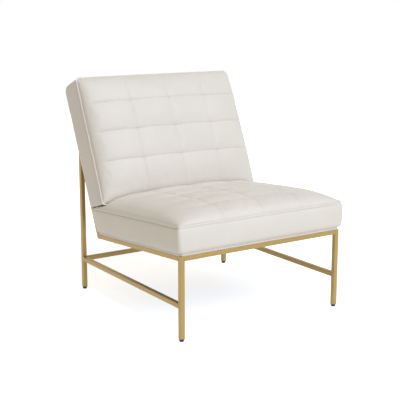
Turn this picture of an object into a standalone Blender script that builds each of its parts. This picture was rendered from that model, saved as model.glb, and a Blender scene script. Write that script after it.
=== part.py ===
"""Leather slipper chair on a square-tube metal frame, with a quilted seat and back.

Metres, +Z up, the chair faces -Y, and the origin is on the floor under the middle of its box.
The seat's own axes are x across, y to the rear along the side rails and z square to them.
The back's own axes are x across, y up along the back bars and z forward out of the back.
"""
import math

import bmesh
import bpy

# Metal frame
frame_width = 0.728
seat_frame_depth = 0.621
post_reach = 0.151
rail_top_height = 0.3125
stretcher_height = 0.1205
seat_pitch = math.radians(4.4)
back_recline = math.radians(24.2)
tube_size = 0.018
tube_wall = 0.0015
tube_corner_radius = 0.002
tube_corner_segments = 2
joint_gap = 0.0003

# Feet
foot_height = 0.010
plug_flange_size = 0.0170
plug_flange_thickness = 0.002
plug_depth = 0.018
plug_corner_radius = 0.001
glide_diameter = 0.017
glide_edge_radius = 0.0016
glide_stem_diameter = 0.008
glide_stem_reach = 0.022
glide_stem_chamfer = 0.001
stem_clearance = 0.00025
glide_sides = 20

# Screws
bolt_diameter = 0.006
bolt_head_diameter = 0.011
bolt_head_height = 0.0032
bolt_head_flat_diameter = 0.007
bolt_shank_chamfer = 0.001
bolt_bite = 0.022
bolt_clearance = 0.0005
bolt_sides = 12
cut_overrun = 0.002

# Seat upholstery
seat_band_height = 0.101
seat_seam_overhang = 0.0070
seat_bulge = 0.0062
seat_hem_height = 0.006
seat_front_seam = 0.0090
seat_front_bulge = 0.0140
seat_crown = 0.069
seat_crown_run = 0.230
seat_corner_radius = 0.008
seat_row_first = 0.0842
seat_row_pitch = 0.1155
seat_column_pitch = 0.178
seat_tuck_base_run = 0.018
seat_tuck_run_share = 0.90
seat_tuck_clearance = 0.0040
seat_tuck_side_run = 0.030
seat_side_wall = 0.0040
seat_inner_front = 0.0045
seat_rear_wall = 0.0025

# Back upholstery
back_thickness = 0.1015
back_length = 0.5142
back_seat_clearance = 0.0028
back_front_drop = 0.0105
back_seam_overhang = 0.0040
back_bulge = 0.0078
back_rear_overhang = 0.0090
back_end_bulge = 0.004
back_top_rear_radius = 0.022
back_corner_radius = 0.012
back_crown = 0.072
back_crown_run = 0.230
back_row_pitch = 0.1215
back_column_pitch = 0.178
back_side_inset = 0.0030
back_inner_end = 0.0060
back_side_shares = (0.67, 0.33)
back_arc_steps = 3

# Quilting, the same on both panels
side_exponent = 2.8
end_exponent = 2.5
channel_depth = 0.0042
crossing_depth = 0.0035
channel_power = 1.6
quilt_thickness = 0.0105
lining_drop = 0.002
edge_pull = 0.0030
pull_edge_power = 6
pull_corner_power = 4
corner_tolerance_share = 0.0001
arc_middle_share = 1 - math.sqrt(0.5)
welt_radius = 0.0025
welt_lip = 0.0006
foam_clearance = 0.002
edge_cell_shares = (0.09, 0.33, 0.65)
cell_shares = (0.25, 0.5, 0.75)
short_cell_shares = (0.34, 0.67)
long_cell_shares = (0.08, 0.27, 0.5, 0.76)
least_cell_share = 0.4
side_level_shares = (0.30, 0.55, 0.80)

# Wooden frames and suspension
seat_board_height = 0.060
seat_board_thickness = 0.020
seat_spring_count = 4
seat_spring_wire = 0.0038
seat_spring_width = 0.046
seat_spring_bends = 14
seat_spring_inset = 0.060
spring_bend_shares = (0.30, 0.70)
spring_end_bend_share = 0.5
spring_seat_share = 0.5
dust_cover_thickness = 0.001
dust_cover_clearance = 0.0015
stile_width = 0.045
stile_depth = 0.030
back_board_height = 0.050
back_web_count = 3
back_web_width = 0.050
back_web_thickness = 0.0014
back_web_overlap_share = 0.7
rear_panel_thickness = 0.0025
seat_bolt_shares = (0.22, 0.80)
back_bolt_rise = 0.046
back_bolt_drop = 0.081

# Angles between the seat and the back
seat_to_back = back_recline - seat_pitch
pitch_slope = math.tan(seat_pitch)
lean_slope = math.tan(seat_to_back)

# Places that follow from the sizes above
rail_end = (seat_frame_depth + tube_size * math.sin(seat_pitch)) / math.cos(seat_pitch)
frame_depth = seat_frame_depth + post_reach
bar_length = post_reach / math.sin(back_recline)
seat_hem_half_width = frame_width / 2
seat_seam_half_width = frame_width / 2 + seat_seam_overhang
seat_inner_half_width = frame_width / 2 - seat_side_wall
back_seam_half_width = frame_width / 2 + back_seam_overhang
back_rear_half_width = frame_width / 2 + back_rear_overhang
back_inner_half_width = frame_width / 2 - back_side_inset
back_rear_face = tube_size + joint_gap
back_seam_level = back_rear_face + back_thickness
seat_rear_foot = rail_end + tube_size * lean_slope - back_rear_face / math.cos(seat_to_back)
welt_seat = 2 * welt_radius + 2 * joint_gap
seat_seam_rear = (
    seat_rear_foot + seat_band_height * lean_slope - welt_seat / math.cos(seat_to_back)
)
seat_inner_rear = welt_seat + edge_pull + seat_rear_wall
seat_seam_on_back = (
    (seat_band_height + tube_size) / math.cos(seat_to_back) - back_rear_face * lean_slope
)
back_bottom = seat_seam_on_back + back_seat_clearance
back_front_bottom = back_bottom - back_front_drop
back_top = back_bottom + back_length
back_bolt_places = (back_bottom + back_bolt_rise, bar_length - back_bolt_drop)
seat_under_back = (
    back_thickness * math.cos(seat_to_back) + back_front_drop * math.sin(seat_to_back)
)
seat_under_rise = (
    back_thickness * math.sin(seat_to_back) - back_front_drop * math.cos(seat_to_back)
)
seat_under_slope = seat_under_rise / seat_under_back
seat_tuck_rise = seat_crown - seat_under_rise
seat_tuck_run = seat_tuck_base_run + seat_tuck_run_share * seat_tuck_rise
leg_column = (frame_width - tube_size) / 2
corner_height = (
    rail_top_height - rail_end * math.sin(seat_pitch) - tube_size * math.cos(seat_pitch)
)
inner_span = frame_width - 2 * (tube_size + joint_gap)
rear_panel_front = back_rear_face + rear_panel_thickness
stile_rear = rear_panel_front + joint_gap
stile_front = stile_rear + stile_depth
web_rear = stile_front + joint_gap
back_foam_rear = web_rear + back_web_thickness + joint_gap
spring_level = seat_board_height + joint_gap * 2 + seat_spring_wire / 2
seat_foam_base = spring_level + seat_spring_wire / 2 + joint_gap


def remove_old_objects():
    for old in list(bpy.data.objects):
        bpy.data.objects.remove(old, do_unlink=True)


def make_material(name, colour, roughness, metallic):
    material = bpy.data.materials.new(name)
    material.use_nodes = True
    shader = material.node_tree.nodes["Principled BSDF"]
    shader.inputs["Base Color"].default_value = (*colour, 1.0)
    shader.inputs["Roughness"].default_value = roughness
    shader.inputs["Metallic"].default_value = metallic
    material.diffuse_color = (*colour, 1.0)
    return material


def make_empty(name, location, turn):
    empty = bpy.data.objects.new(name, None)
    bpy.context.scene.collection.objects.link(empty)
    empty.location = location
    empty.rotation_euler = (turn, 0, 0)
    return empty


def place(name, data, material, parent, location, rotation=(0, 0, 0)):
    piece = bpy.data.objects.new(name, data)
    bpy.context.scene.collection.objects.link(piece)
    piece.parent = parent
    piece.location = location
    piece.rotation_euler = rotation
    data.materials.append(material)
    return piece


def finish_mesh(name, bm, smooth_angle):
    bmesh.ops.recalc_face_normals(bm, faces=bm.faces)
    mesh = bpy.data.meshes.new(name)
    bm.to_mesh(mesh)
    bm.free()
    mesh.shade_smooth()
    mesh.set_sharp_from_angle(angle=smooth_angle)
    return mesh


# Shared shapes

tube_smooth = math.radians(40)
cushion_smooth = math.radians(75)
along_x = (0, math.radians(90), 0)
along_y = (math.radians(-90), 0, 0)


def bridge(bm, low, high):
    """Join two closed rings of the same count with a band of four-sided faces."""
    count = len(low)
    for index in range(count):
        after = (index + 1) % count
        bm.faces.new((low[index], low[after], high[after], high[index]))


def rounded_square(half, radius, segments):
    """Corner arcs of a square, counter-clockwise, as (x, y) pairs."""
    points = []
    centre = half - radius
    for corner, (side_x, side_y) in enumerate(((1, 1), (-1, 1), (-1, -1), (1, -1))):
        for step in range(segments + 1):
            angle = math.pi / 2 * (corner + step / segments)
            x = side_x * centre + radius * math.cos(angle)
            y = side_y * centre + radius * math.sin(angle)
            points.append((x, y))
    return points


def square_tube_mesh(name, start, end, start_slope=0, end_slope=0):
    """Open-ended square tube along its z, each end cut on a slope along its y."""
    inner_radius = max(tube_corner_radius - tube_wall, joint_gap)
    outer = rounded_square(tube_size / 2, tube_corner_radius, tube_corner_segments)
    inner = rounded_square(tube_size / 2 - tube_wall, inner_radius, tube_corner_segments)
    bm = bmesh.new()
    rings = []
    for profile, level, slope in (
        (inner, start, start_slope),
        (outer, start, start_slope),
        (outer, end, end_slope),
        (inner, end, end_slope),
    ):
        rings.append([bm.verts.new((x, y, level + slope * y)) for x, y in profile])
    for index in range(len(rings)):
        bridge(bm, rings[index], rings[(index + 1) % len(rings)])
    return finish_mesh(name, bm, tube_smooth)


def turned_mesh(name, profile, sides):
    """Solid turned about z from (radius, height) pairs whose ends lie on the axis."""
    bm = bmesh.new()
    bottom = bm.verts.new((0, 0, profile[0][1]))
    top = bm.verts.new((0, 0, profile[-1][1]))
    rings = []
    for radius, height in profile[1:-1]:
        ring = []
        for side in range(sides):
            angle = 2 * math.pi * side / sides
            ring.append(bm.verts.new((radius * math.cos(angle), radius * math.sin(angle), height)))
        rings.append(ring)
    for low, high in zip(rings, rings[1:]):
        bridge(bm, low, high)
    for side in range(sides):
        after = (side + 1) % sides
        bm.faces.new((bottom, rings[0][after], rings[0][side]))
        bm.faces.new((top, rings[-1][side], rings[-1][after]))
    return finish_mesh(name, bm, tube_smooth)


def prism_mesh(name, low, high):
    """Six-sided solid from four corners at one level and four at another."""
    bm = bmesh.new()
    low_ring = [bm.verts.new(point) for point in low]
    high_ring = [bm.verts.new(point) for point in high]
    bridge(bm, low_ring, high_ring)
    bm.faces.new(low_ring)
    bm.faces.new(high_ring)
    return finish_mesh(name, bm, tube_smooth)


def level_rectangle(half_width, near, far, level):
    return [
        (-half_width, near, level), (half_width, near, level),
        (half_width, far, level), (-half_width, far, level),
    ]


def box_mesh(name, x_range, y_range, z_range):
    (x0, x1), (y0, y1), (z0, z1) = x_range, y_range, z_range
    low = [(x0, y0, z0), (x1, y0, z0), (x1, y1, z0), (x0, y1, z0)]
    high = [(x0, y0, z1), (x1, y0, z1), (x1, y1, z1), (x0, y1, z1)]
    return prism_mesh(name, low, high)


def drill(piece, parent, location, low, high):
    """Cut a round bolt hole along the parent's z between two levels."""
    radius = bolt_diameter / 2 + bolt_clearance
    profile = ((0, low), (radius, low), (radius, high), (0, high))
    name = piece.name + "_cutter"
    mesh = turned_mesh(name, profile, bolt_sides)
    cutter = bpy.data.objects.new(name, mesh)
    bpy.context.scene.collection.objects.link(cutter)
    cutter.parent = parent
    cutter.location = location
    cutter.display_type = "WIRE"
    cutter.hide_render = True
    cut = piece.modifiers.new("bolt hole", "BOOLEAN")
    cut.operation = "DIFFERENCE"
    cut.solver = "EXACT"
    cut.object = cutter


# Quilted panels

def edge_rise(distance, run, exponent):
    """Share of the full crown at a distance in from an edge."""
    inward = min(max(distance / run, 0), 1)
    return (1 - (1 - inward) ** exponent) ** (1 / exponent)


def smooth_step(share):
    held = min(max(share, 0), 1)
    return held * held * (3 - 2 * held)


def channel(value, lines):
    """1 on a sewn line, falling to 0 in the middle of a cell."""
    below = max(line for line in lines if line <= value)
    above = min(line for line in lines if line > below)
    across = (value - below) / (above - below)
    return (1 - math.sin(math.pi * across)) ** channel_power


def split_cells(lines, shares_by_cell):
    """Stations at the lines and at the named shares of each cell between them."""
    stations = [lines[0]]
    for low, high, shares in zip(lines, lines[1:], shares_by_cell):
        for share in shares:
            stations.append(low + share * (high - low))
        stations.append(high)
    return stations


def mirrored(shares):
    return tuple(1 - share for share in reversed(shares))


class Panel:
    """The sewn top of a cushion: where its grid runs and how high it stands."""

    def __init__(
        self, half_width, low, high, radius, column_lines, row_lines, columns, rows, crown
    ):
        self.half_width = half_width
        self.low = low
        self.high = high
        self.radius = radius
        self.column_lines = column_lines
        self.row_lines = row_lines
        self.columns = columns
        self.rows = rows
        self.crown = crown

    def shares(self, x, y):
        return x / self.half_width, (y - self.low) / (self.high - self.low)

    def tuft(self, x, y):
        """Depth of the sewn lines below the smooth crown, none at the panel's edge."""
        across = channel(x, self.column_lines)
        along = channel(y, self.row_lines)
        rise = self.crown(x, y)
        depth = channel_depth * max(across, along) + crossing_depth * across * along
        return min(depth, rise * quilt_thickness / (rise + quilt_thickness) / 2)


def perimeter(columns, rows):
    """Grid steps once round the edge of the grid, counter-clockwise."""
    last_column = len(columns) - 1
    last_row = len(rows) - 1
    steps = [(i, 0) for i in range(last_column)]
    steps += [(last_column, j) for j in range(last_row)]
    steps += [(i, last_row) for i in range(last_column, 0, -1)]
    steps += [(0, j) for j in range(last_row, 0, -1)]
    return steps


def outline_point(across, along, half_width, low, high, pull, radius):
    """A point of a cushion's outline, with its edges drawn in and its corners rounded."""
    up = 2 * along - 1
    hollow_x = pull * abs(across) ** pull_edge_power * (1 - up ** pull_corner_power)
    hollow_y = pull * abs(up) ** pull_edge_power * (1 - across ** pull_corner_power)
    side_x = math.copysign(1, across)
    side_y = math.copysign(1, up)
    x = across * half_width - side_x * hollow_x
    y = low + along * (high - low) - side_y * hollow_y
    if min(abs(across), abs(up)) > 1 - corner_tolerance_share:
        x -= side_x * radius * arc_middle_share
        y -= side_y * radius * arc_middle_share
    return x, y


def add_surface(bm, panel, columns, rows, height, half_width, low, high, pull, radius):
    """A grid of vertices over the panel, with the faces between them."""
    grid = {}
    for i, x_station in enumerate(columns):
        for j, y_station in enumerate(rows):
            across, along = panel.shares(x_station, y_station)
            x, y = outline_point(across, along, half_width, low, high, pull, radius)
            grid[i, j] = bm.verts.new((x, y, height(x_station, y_station)))
    for i in range(len(columns) - 1):
        for j in range(len(rows) - 1):
            bm.faces.new((grid[i, j], grid[i + 1, j], grid[i + 1, j + 1], grid[i, j + 1]))
    return grid


def add_ring(bm, panel, columns, rows, level, half_width, low, high, pull, radius):
    """One closed ring of a cushion's side at a level."""
    ring = []
    for i, j in perimeter(columns, rows):
        across, along = panel.shares(columns[i], rows[j])
        x, y = outline_point(across, along, half_width, low, high, pull, radius)
        ring.append(bm.verts.new((x, y, level)))
    return ring


def cover_mesh(name, panel, seam_level, outer_rings, inner_rings, inner_box):
    """Quilted cover, open at the face that the frame closes."""
    bm = bmesh.new()
    columns, rows = panel.columns, panel.rows

    def outer_height(x, y):
        return seam_level + welt_radius + joint_gap + panel.crown(x, y) - panel.tuft(x, y)

    def inner_height(x, y):
        return seam_level + max(panel.crown(x, y) - quilt_thickness, -lining_drop)

    edge = perimeter(columns, rows)
    outer = add_surface(
        bm, panel, columns, rows, outer_height,
        panel.half_width + welt_lip, panel.low - welt_lip, panel.high + welt_lip,
        edge_pull, panel.radius,
    )
    inner = add_surface(bm, panel, columns, rows, inner_height, *inner_box)
    rings = [[outer[step] for step in edge]]
    for ring in (*outer_rings, *inner_rings):
        rings.append(add_ring(bm, panel, columns, rows, *ring))
    rings.append([inner[step] for step in edge])
    for upper, lower in zip(rings, rings[1:]):
        bridge(bm, lower, upper)
    return finish_mesh(name, bm, cushion_smooth)


def foam_mesh(name, panel, seam_level, base_level, box, base_box):
    """Smooth filling that lies just inside a cover."""
    bm = bmesh.new()
    columns = panel.columns[::2]
    rows = panel.rows

    def height(x, y):
        lowered = panel.crown(x, y) - quilt_thickness
        return seam_level + max(lowered, -lining_drop) - foam_clearance

    grid = add_surface(bm, panel, columns, rows, height, *box)
    edge = [grid[step] for step in perimeter(columns, rows)]
    base = add_ring(bm, panel, columns, rows, base_level, *base_box)
    bridge(bm, base, edge)
    bm.faces.new(base)
    return finish_mesh(name, bm, cushion_smooth)


def welt_object(name, panel, level, material, parent):
    """Closed cord that lies in the groove round a panel."""
    reach = welt_radius + joint_gap
    curve = bpy.data.curves.new(name, "CURVE")
    curve.dimensions = "3D"
    curve.bevel_depth = welt_radius
    curve.bevel_resolution = 1
    steps = perimeter(panel.columns, panel.rows)
    spline = curve.splines.new("POLY")
    spline.points.add(len(steps) - 1)
    for point, (i, j) in zip(spline.points, steps):
        across, along = panel.shares(panel.columns[i], panel.rows[j])
        x, y = outline_point(
            across, along, panel.half_width + reach, panel.low - reach, panel.high + reach,
            edge_pull, panel.radius,
        )
        point.co = (x, y, level, 1)
    spline.use_cyclic_u = True
    return place(name, curve, material, parent, (0, 0, 0))


# Outlines of the cushions' sides

# A ring is (level, half width, low, high, pull, corner radius).

def seat_rear_at(level):
    return seat_rear_foot + level * lean_slope


def seat_rings():
    """Side of the seat from just under its seam down to its hem."""
    groove_low = seat_band_height - welt_radius - joint_gap
    rings = [
        (
            seat_band_height, seat_seam_half_width,
            -seat_front_seam, seat_seam_rear, edge_pull, seat_corner_radius,
        ),
        (
            groove_low, seat_seam_half_width + welt_lip,
            -seat_front_seam - welt_lip, seat_seam_rear + welt_lip, edge_pull, seat_corner_radius,
        ),
    ]
    for share in reversed(side_level_shares):
        level = groove_low * share
        swell = math.sin(math.pi * share)
        half_width = seat_seam_half_width + seat_bulge * swell
        front = -seat_front_seam - (seat_front_bulge - seat_front_seam) * swell
        pull = edge_pull * share
        rings.append(
            (level, half_width, front, seat_rear_at(level), pull, seat_corner_radius)
        )
    for level in (seat_hem_height, joint_gap):
        rings.append(
            (level, seat_hem_half_width, 0, seat_rear_at(level), 0, seat_corner_radius)
        )
    return rings


def back_top_at(level):
    """Top of the back's outline at a level, rounded over to the rear."""
    above_rear = level - back_rear_face
    if above_rear >= back_top_rear_radius:
        return back_top
    short = back_top_rear_radius - above_rear
    drop = back_top_rear_radius - math.sqrt(back_top_rear_radius ** 2 - short ** 2)
    return back_top - drop


def back_rings():
    """Side of the back from just behind its seam to its rear edge."""
    groove_low = back_seam_level - welt_radius - joint_gap
    rings = [
        (
            back_seam_level, back_seam_half_width,
            back_front_bottom, back_top, edge_pull, back_corner_radius,
        ),
        (
            groove_low, back_seam_half_width + welt_lip,
            back_front_bottom - welt_lip, back_top + welt_lip, edge_pull, back_corner_radius,
        ),
    ]
    arc_start = back_rear_face + back_top_rear_radius
    span = groove_low - back_rear_face
    levels = [arc_start + (groove_low - arc_start) * share for share in back_side_shares]
    for step in range(back_arc_steps):
        angle = math.pi / 2 * step / back_arc_steps
        levels.append(arc_start - back_top_rear_radius * math.sin(angle))
    levels.append(back_rear_face)
    for level in levels:
        share = (level - back_rear_face) / span
        swell = math.sin(math.pi * share)
        ease = back_rear_half_width + (back_seam_half_width - back_rear_half_width) * share
        half_width = ease + back_bulge * swell / 2
        low = back_bottom - back_front_drop * share
        high = back_top_at(level) + back_end_bulge * swell * share
        rings.append((level, half_width, low, high, edge_pull * share, back_corner_radius))
    return rings


def seat_front_reach():
    """How far the seat's front stands before the front face of the legs."""
    reaches = []
    for level, half_width, low, high, pull, radius in seat_rings():
        reaches.append(-low * math.cos(seat_pitch) - level * math.sin(seat_pitch))
    return max(reaches)


def back_rear_reach():
    """How far the back's top stands behind the front face of the legs."""
    reaches = []
    for level, half_width, low, high, pull, radius in back_rings():
        reaches.append(high * math.sin(back_recline) - level * math.cos(back_recline))
    return seat_frame_depth + max(reaches)


# Places along the floor, with the chair's box centred on the origin
front_face = (seat_front_reach() - back_rear_reach()) / 2
leg_row = front_face + tube_size / 2
post_row = front_face + frame_depth - tube_size / 2
corner_row = front_face + seat_frame_depth


# Metal frame

def build_frame(brass, seat_plane, back_plane):
    for side, name in ((-1, "left"), (1, "right")):
        column = side * leg_column
        leg_top = rail_top_height - tube_size / 2 * pitch_slope
        mesh = square_tube_mesh("front_leg_" + name, foot_height, leg_top, 0, -pitch_slope)
        place(mesh.name, mesh, brass, None, (column, leg_row, 0))

        post_slope = 1 / math.tan(back_recline)
        post_top = (
            corner_height
            + (post_row - corner_row) * post_slope
            - joint_gap / math.sin(back_recline)
        )
        mesh = square_tube_mesh("rear_post_" + name, foot_height, post_top, 0, post_slope)
        place(mesh.name, mesh, brass, None, (column, post_row, 0))

        rail_start = (
            tube_size + joint_gap + tube_size / 2 * math.sin(seat_pitch)
        ) / math.cos(seat_pitch)
        rail_stop = (
            rail_end + tube_size / 2 * lean_slope - back_rear_face / math.cos(seat_to_back)
        )
        mesh = square_tube_mesh(
            "side_rail_" + name, rail_start, rail_stop, pitch_slope, -lean_slope
        )
        rail = place(mesh.name, mesh, brass, seat_plane, (column, 0, -tube_size / 2), along_y)
        for share in seat_bolt_shares:
            low = -tube_size - cut_overrun
            drill(rail, seat_plane, (column, seat_rear_foot * share, 0), low, cut_overrun)

        bar_foot = -tube_size / 2 * lean_slope
        mesh = square_tube_mesh("back_bar_" + name, bar_foot, bar_length, lean_slope, 0)
        bar = place(mesh.name, mesh, brass, back_plane, (column, 0, tube_size / 2), along_y)
        for level in back_bolt_places:
            high = tube_size + cut_overrun
            drill(bar, back_plane, (column, level, 0), -cut_overrun, high)

        stretcher_start = leg_row + tube_size / 2 + joint_gap
        stretcher_end = post_row - tube_size / 2 - joint_gap
        mesh = square_tube_mesh("side_stretcher_" + name, stretcher_start, stretcher_end)
        level = stretcher_height + tube_size / 2
        place(mesh.name, mesh, brass, None, (column, 0, level), along_y)

    half_span = inner_span / 2
    mesh = square_tube_mesh("front_rail", -half_span, half_span)
    setback = tube_size * pitch_slope + tube_size / 2
    place(mesh.name, mesh, brass, seat_plane, (0, setback, -tube_size / 2), along_x)

    mesh = square_tube_mesh("rear_stretcher", -half_span, half_span)
    level = stretcher_height + tube_size / 2
    place(mesh.name, mesh, brass, None, (0, post_row, level), along_x)

    mesh = square_tube_mesh("rear_rail", -half_span, half_span)
    place(mesh.name, mesh, brass, back_plane, (0, tube_size / 2, tube_size / 2), along_x)

    mesh = square_tube_mesh("back_cross_bar", -half_span, half_span)
    cross_level = bar_length - tube_size / 2
    place(mesh.name, mesh, brass, back_plane, (0, cross_level, tube_size / 2), along_x)


def plug_mesh(name):
    """Threaded plug: a square body in the tube over a flange, with a bore right through."""
    flange_top = foot_height - joint_gap
    flange_base = flange_top - plug_flange_thickness
    body_top = foot_height + plug_depth
    body_half = tube_size / 2 - tube_wall - joint_gap
    flange = rounded_square(plug_flange_size / 2, tube_corner_radius, tube_corner_segments)
    body = rounded_square(body_half, plug_corner_radius, tube_corner_segments)
    step = 2 * math.pi / len(body)
    first = math.pi / 4 - step * tube_corner_segments / 2
    bore = (glide_stem_diameter / 2 + stem_clearance) / math.cos(step / 2)
    turns = [first + step * index for index in range(len(body))]
    hole = [(bore * math.cos(turn), bore * math.sin(turn)) for turn in turns]
    bm = bmesh.new()
    rings = []
    for profile, level in (
        (hole, flange_base),
        (flange, flange_base),
        (flange, flange_top),
        (body, flange_top),
        (body, body_top),
        (hole, body_top),
    ):
        rings.append([bm.verts.new((x, y, level)) for x, y in profile])
    for index in range(len(rings)):
        bridge(bm, rings[index], rings[(index + 1) % len(rings)])
    return finish_mesh(name, bm, tube_smooth)


def glide_mesh(name):
    """Screw-in levelling glide: a round base with a soft edge under its stem."""
    radius = glide_diameter / 2
    stem = glide_stem_diameter / 2
    base_top = foot_height - 2 * joint_gap - plug_flange_thickness
    stem_top = base_top + glide_stem_reach
    soft = glide_edge_radius * arc_middle_share
    profile = (
        (0, 0),
        (radius - glide_edge_radius, 0),
        (radius - soft, soft),
        (radius, glide_edge_radius),
        (radius, base_top - glide_edge_radius),
        (radius - glide_edge_radius, base_top),
        (stem, base_top),
        (stem, stem_top - glide_stem_chamfer),
        (stem - glide_stem_chamfer, stem_top),
        (0, stem_top),
    )
    return turned_mesh(name, profile, glide_sides)


def build_feet(plastic):
    for row, row_name in ((leg_row, "front"), (post_row, "rear")):
        for side, side_name in ((-1, "left"), (1, "right")):
            ending = row_name + "_" + side_name
            location = (side * leg_column, row, 0)
            plug = plug_mesh("leg_plug_" + ending)
            place(plug.name, plug, plastic, None, location)
            glide = glide_mesh("foot_glide_" + ending)
            place(glide.name, glide, plastic, None, location)


# Screws

def bolt_mesh(name, grip):
    """Button-head screw whose head seats at zero and whose shank runs up z."""
    shank = bolt_diameter / 2
    profile = (
        (0, -bolt_head_height),
        (bolt_head_flat_diameter / 2, -bolt_head_height),
        (bolt_head_diameter / 2, -bolt_head_height / 2),
        (bolt_head_diameter / 2, 0),
        (shank, 0),
        (shank, grip - bolt_shank_chamfer),
        (shank - bolt_shank_chamfer, grip),
        (0, grip),
    )
    return turned_mesh(name, profile, bolt_sides)


def build_bolts(steel, seat_plane, back_plane):
    seat_grip = joint_gap + tube_size + bolt_bite
    back_grip = joint_gap + stile_rear + bolt_bite
    for side, side_name in ((-1, "left"), (1, "right")):
        column = side * leg_column
        for share, place_name in zip(seat_bolt_shares, ("front", "rear")):
            name = "seat_bolt_" + place_name + "_" + side_name
            location = (column, seat_rear_foot * share, -tube_size - joint_gap)
            place(name, bolt_mesh(name, seat_grip), steel, seat_plane, location)
        for level, place_name in zip(back_bolt_places, ("lower", "upper")):
            name = "back_bolt_" + place_name + "_" + side_name
            location = (column, level, -joint_gap)
            place(name, bolt_mesh(name, back_grip), steel, back_plane, location)


# Seat

def seat_crown_height(x, y):
    """Height of the smooth seat top above its seam, tucked under the back at the rear."""
    across = edge_rise(seat_seam_half_width - abs(x), seat_seam_half_width, side_exponent)
    front = edge_rise(y + seat_front_seam, seat_crown_run, end_exponent)
    from_rear = max(seat_seam_rear - y, 0)
    clear = seat_tuck_clearance * smooth_step(from_rear / seat_under_back)
    tucked = min(from_rear, seat_under_back) * seat_under_slope - clear
    tucked *= edge_rise(seat_seam_half_width - abs(x), seat_tuck_side_run, end_exponent)
    beyond = smooth_step((from_rear - seat_under_back) / seat_tuck_run)
    rear = tucked + (across * seat_crown - tucked) * beyond
    return min(across * front * seat_crown, rear)


def seat_panel():
    columns_at = [index * seat_column_pitch for index in (-1, 0, 1)]
    column_lines = [-seat_seam_half_width, *columns_at, seat_seam_half_width]
    last_row = seat_seam_rear - seat_row_pitch * least_cell_share
    row_count = int((last_row - seat_row_first) / seat_row_pitch) + 1
    rows_at = [seat_row_first + index * seat_row_pitch for index in range(row_count)]
    row_lines = [-seat_front_seam, *rows_at, seat_seam_rear]
    columns = split_cells(
        column_lines, (edge_cell_shares, cell_shares, cell_shares, mirrored(edge_cell_shares))
    )
    row_shares = [edge_cell_shares, *[short_cell_shares] * row_count]
    rows = split_cells(row_lines, row_shares)
    return Panel(
        seat_seam_half_width, -seat_front_seam, seat_seam_rear, seat_corner_radius,
        [-seat_seam_half_width * 2, *columns_at, seat_seam_half_width * 2],
        [-seat_row_pitch, *rows_at, seat_seam_rear + seat_row_pitch],
        columns, rows, seat_crown_height,
    )


def board_row(level, inset):
    """Rear face of the seat's wooden frame at a level, at an inset from the cover's lining."""
    wall = seat_inner_rear / math.cos(seat_to_back)
    return seat_rear_at(level) - wall - joint_gap - inset / math.cos(seat_to_back)


def build_seat(leather, foam, wood, steel, cloth, seat_plane):
    panel = seat_panel()
    inner_rear = seat_inner_rear / math.cos(seat_to_back)
    lining_level = seat_band_height - lining_drop
    inner_box = (
        seat_inner_half_width, seat_inner_front, seat_rear_at(lining_level) - inner_rear, 0, 0,
    )
    inner_rings = [
        (joint_gap, seat_inner_half_width, seat_inner_front,
         seat_rear_at(joint_gap) - inner_rear, 0, 0),
    ]
    mesh = cover_mesh(
        "seat_cover", panel, seat_band_height, seat_rings(), inner_rings, inner_box
    )
    place(mesh.name, mesh, leather, seat_plane, (0, 0, 0))
    welt_object("seat_welt", panel, seat_band_height, leather, seat_plane)

    foam_half = seat_inner_half_width - foam_clearance
    foam_front = seat_inner_front + foam_clearance
    top_level = lining_level - foam_clearance
    foam_rear = seat_rear_at(top_level) - inner_rear - foam_clearance
    base_rear = seat_rear_at(seat_foam_base) - inner_rear - foam_clearance
    mesh = foam_mesh(
        "seat_foam", panel, seat_band_height, seat_foam_base,
        (foam_half, foam_front, foam_rear, 0, 0), (foam_half, foam_front, base_rear, 0, 0),
    )
    place(mesh.name, mesh, foam, seat_plane, (0, 0, 0))
    build_seat_boards(wood, seat_plane)
    build_seat_springs(steel, seat_plane)
    build_dust_cover(cloth, seat_plane)


def build_seat_boards(wood, seat_plane):
    half = seat_inner_half_width - joint_gap
    front = seat_inner_front + joint_gap
    base = joint_gap
    top = seat_board_height + joint_gap
    inner_half = half - seat_board_thickness - joint_gap
    mesh = box_mesh(
        "seat_board_front", (-half, half), (front, front + seat_board_thickness), (base, top)
    )
    place(mesh.name, mesh, wood, seat_plane, (0, 0, 0))

    rings = []
    for level in (base, top):
        near = board_row(level, seat_board_thickness)
        far = board_row(level, 0)
        rings.append(level_rectangle(half, near, far, level))
    mesh = prism_mesh("seat_board_rear", *rings)
    place(mesh.name, mesh, wood, seat_plane, (0, 0, 0))

    start = front + seat_board_thickness + joint_gap
    for side, name in ((-1, "left"), (1, "right")):
        rings = []
        for level in (base, top):
            stop = board_row(level, seat_board_thickness + joint_gap)
            rings.append([
                (side * half, start, level), (side * (inner_half + joint_gap), start, level),
                (side * (inner_half + joint_gap), stop, level), (side * half, stop, level),
            ])
        mesh = prism_mesh("seat_board_" + name, *rings)
        board = place(mesh.name, mesh, wood, seat_plane, (0, 0, 0))
        for share in seat_bolt_shares:
            location = (side * leg_column, seat_rear_foot * share, 0)
            drill(board, seat_plane, location, -cut_overrun, bolt_bite + cut_overrun)


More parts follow.
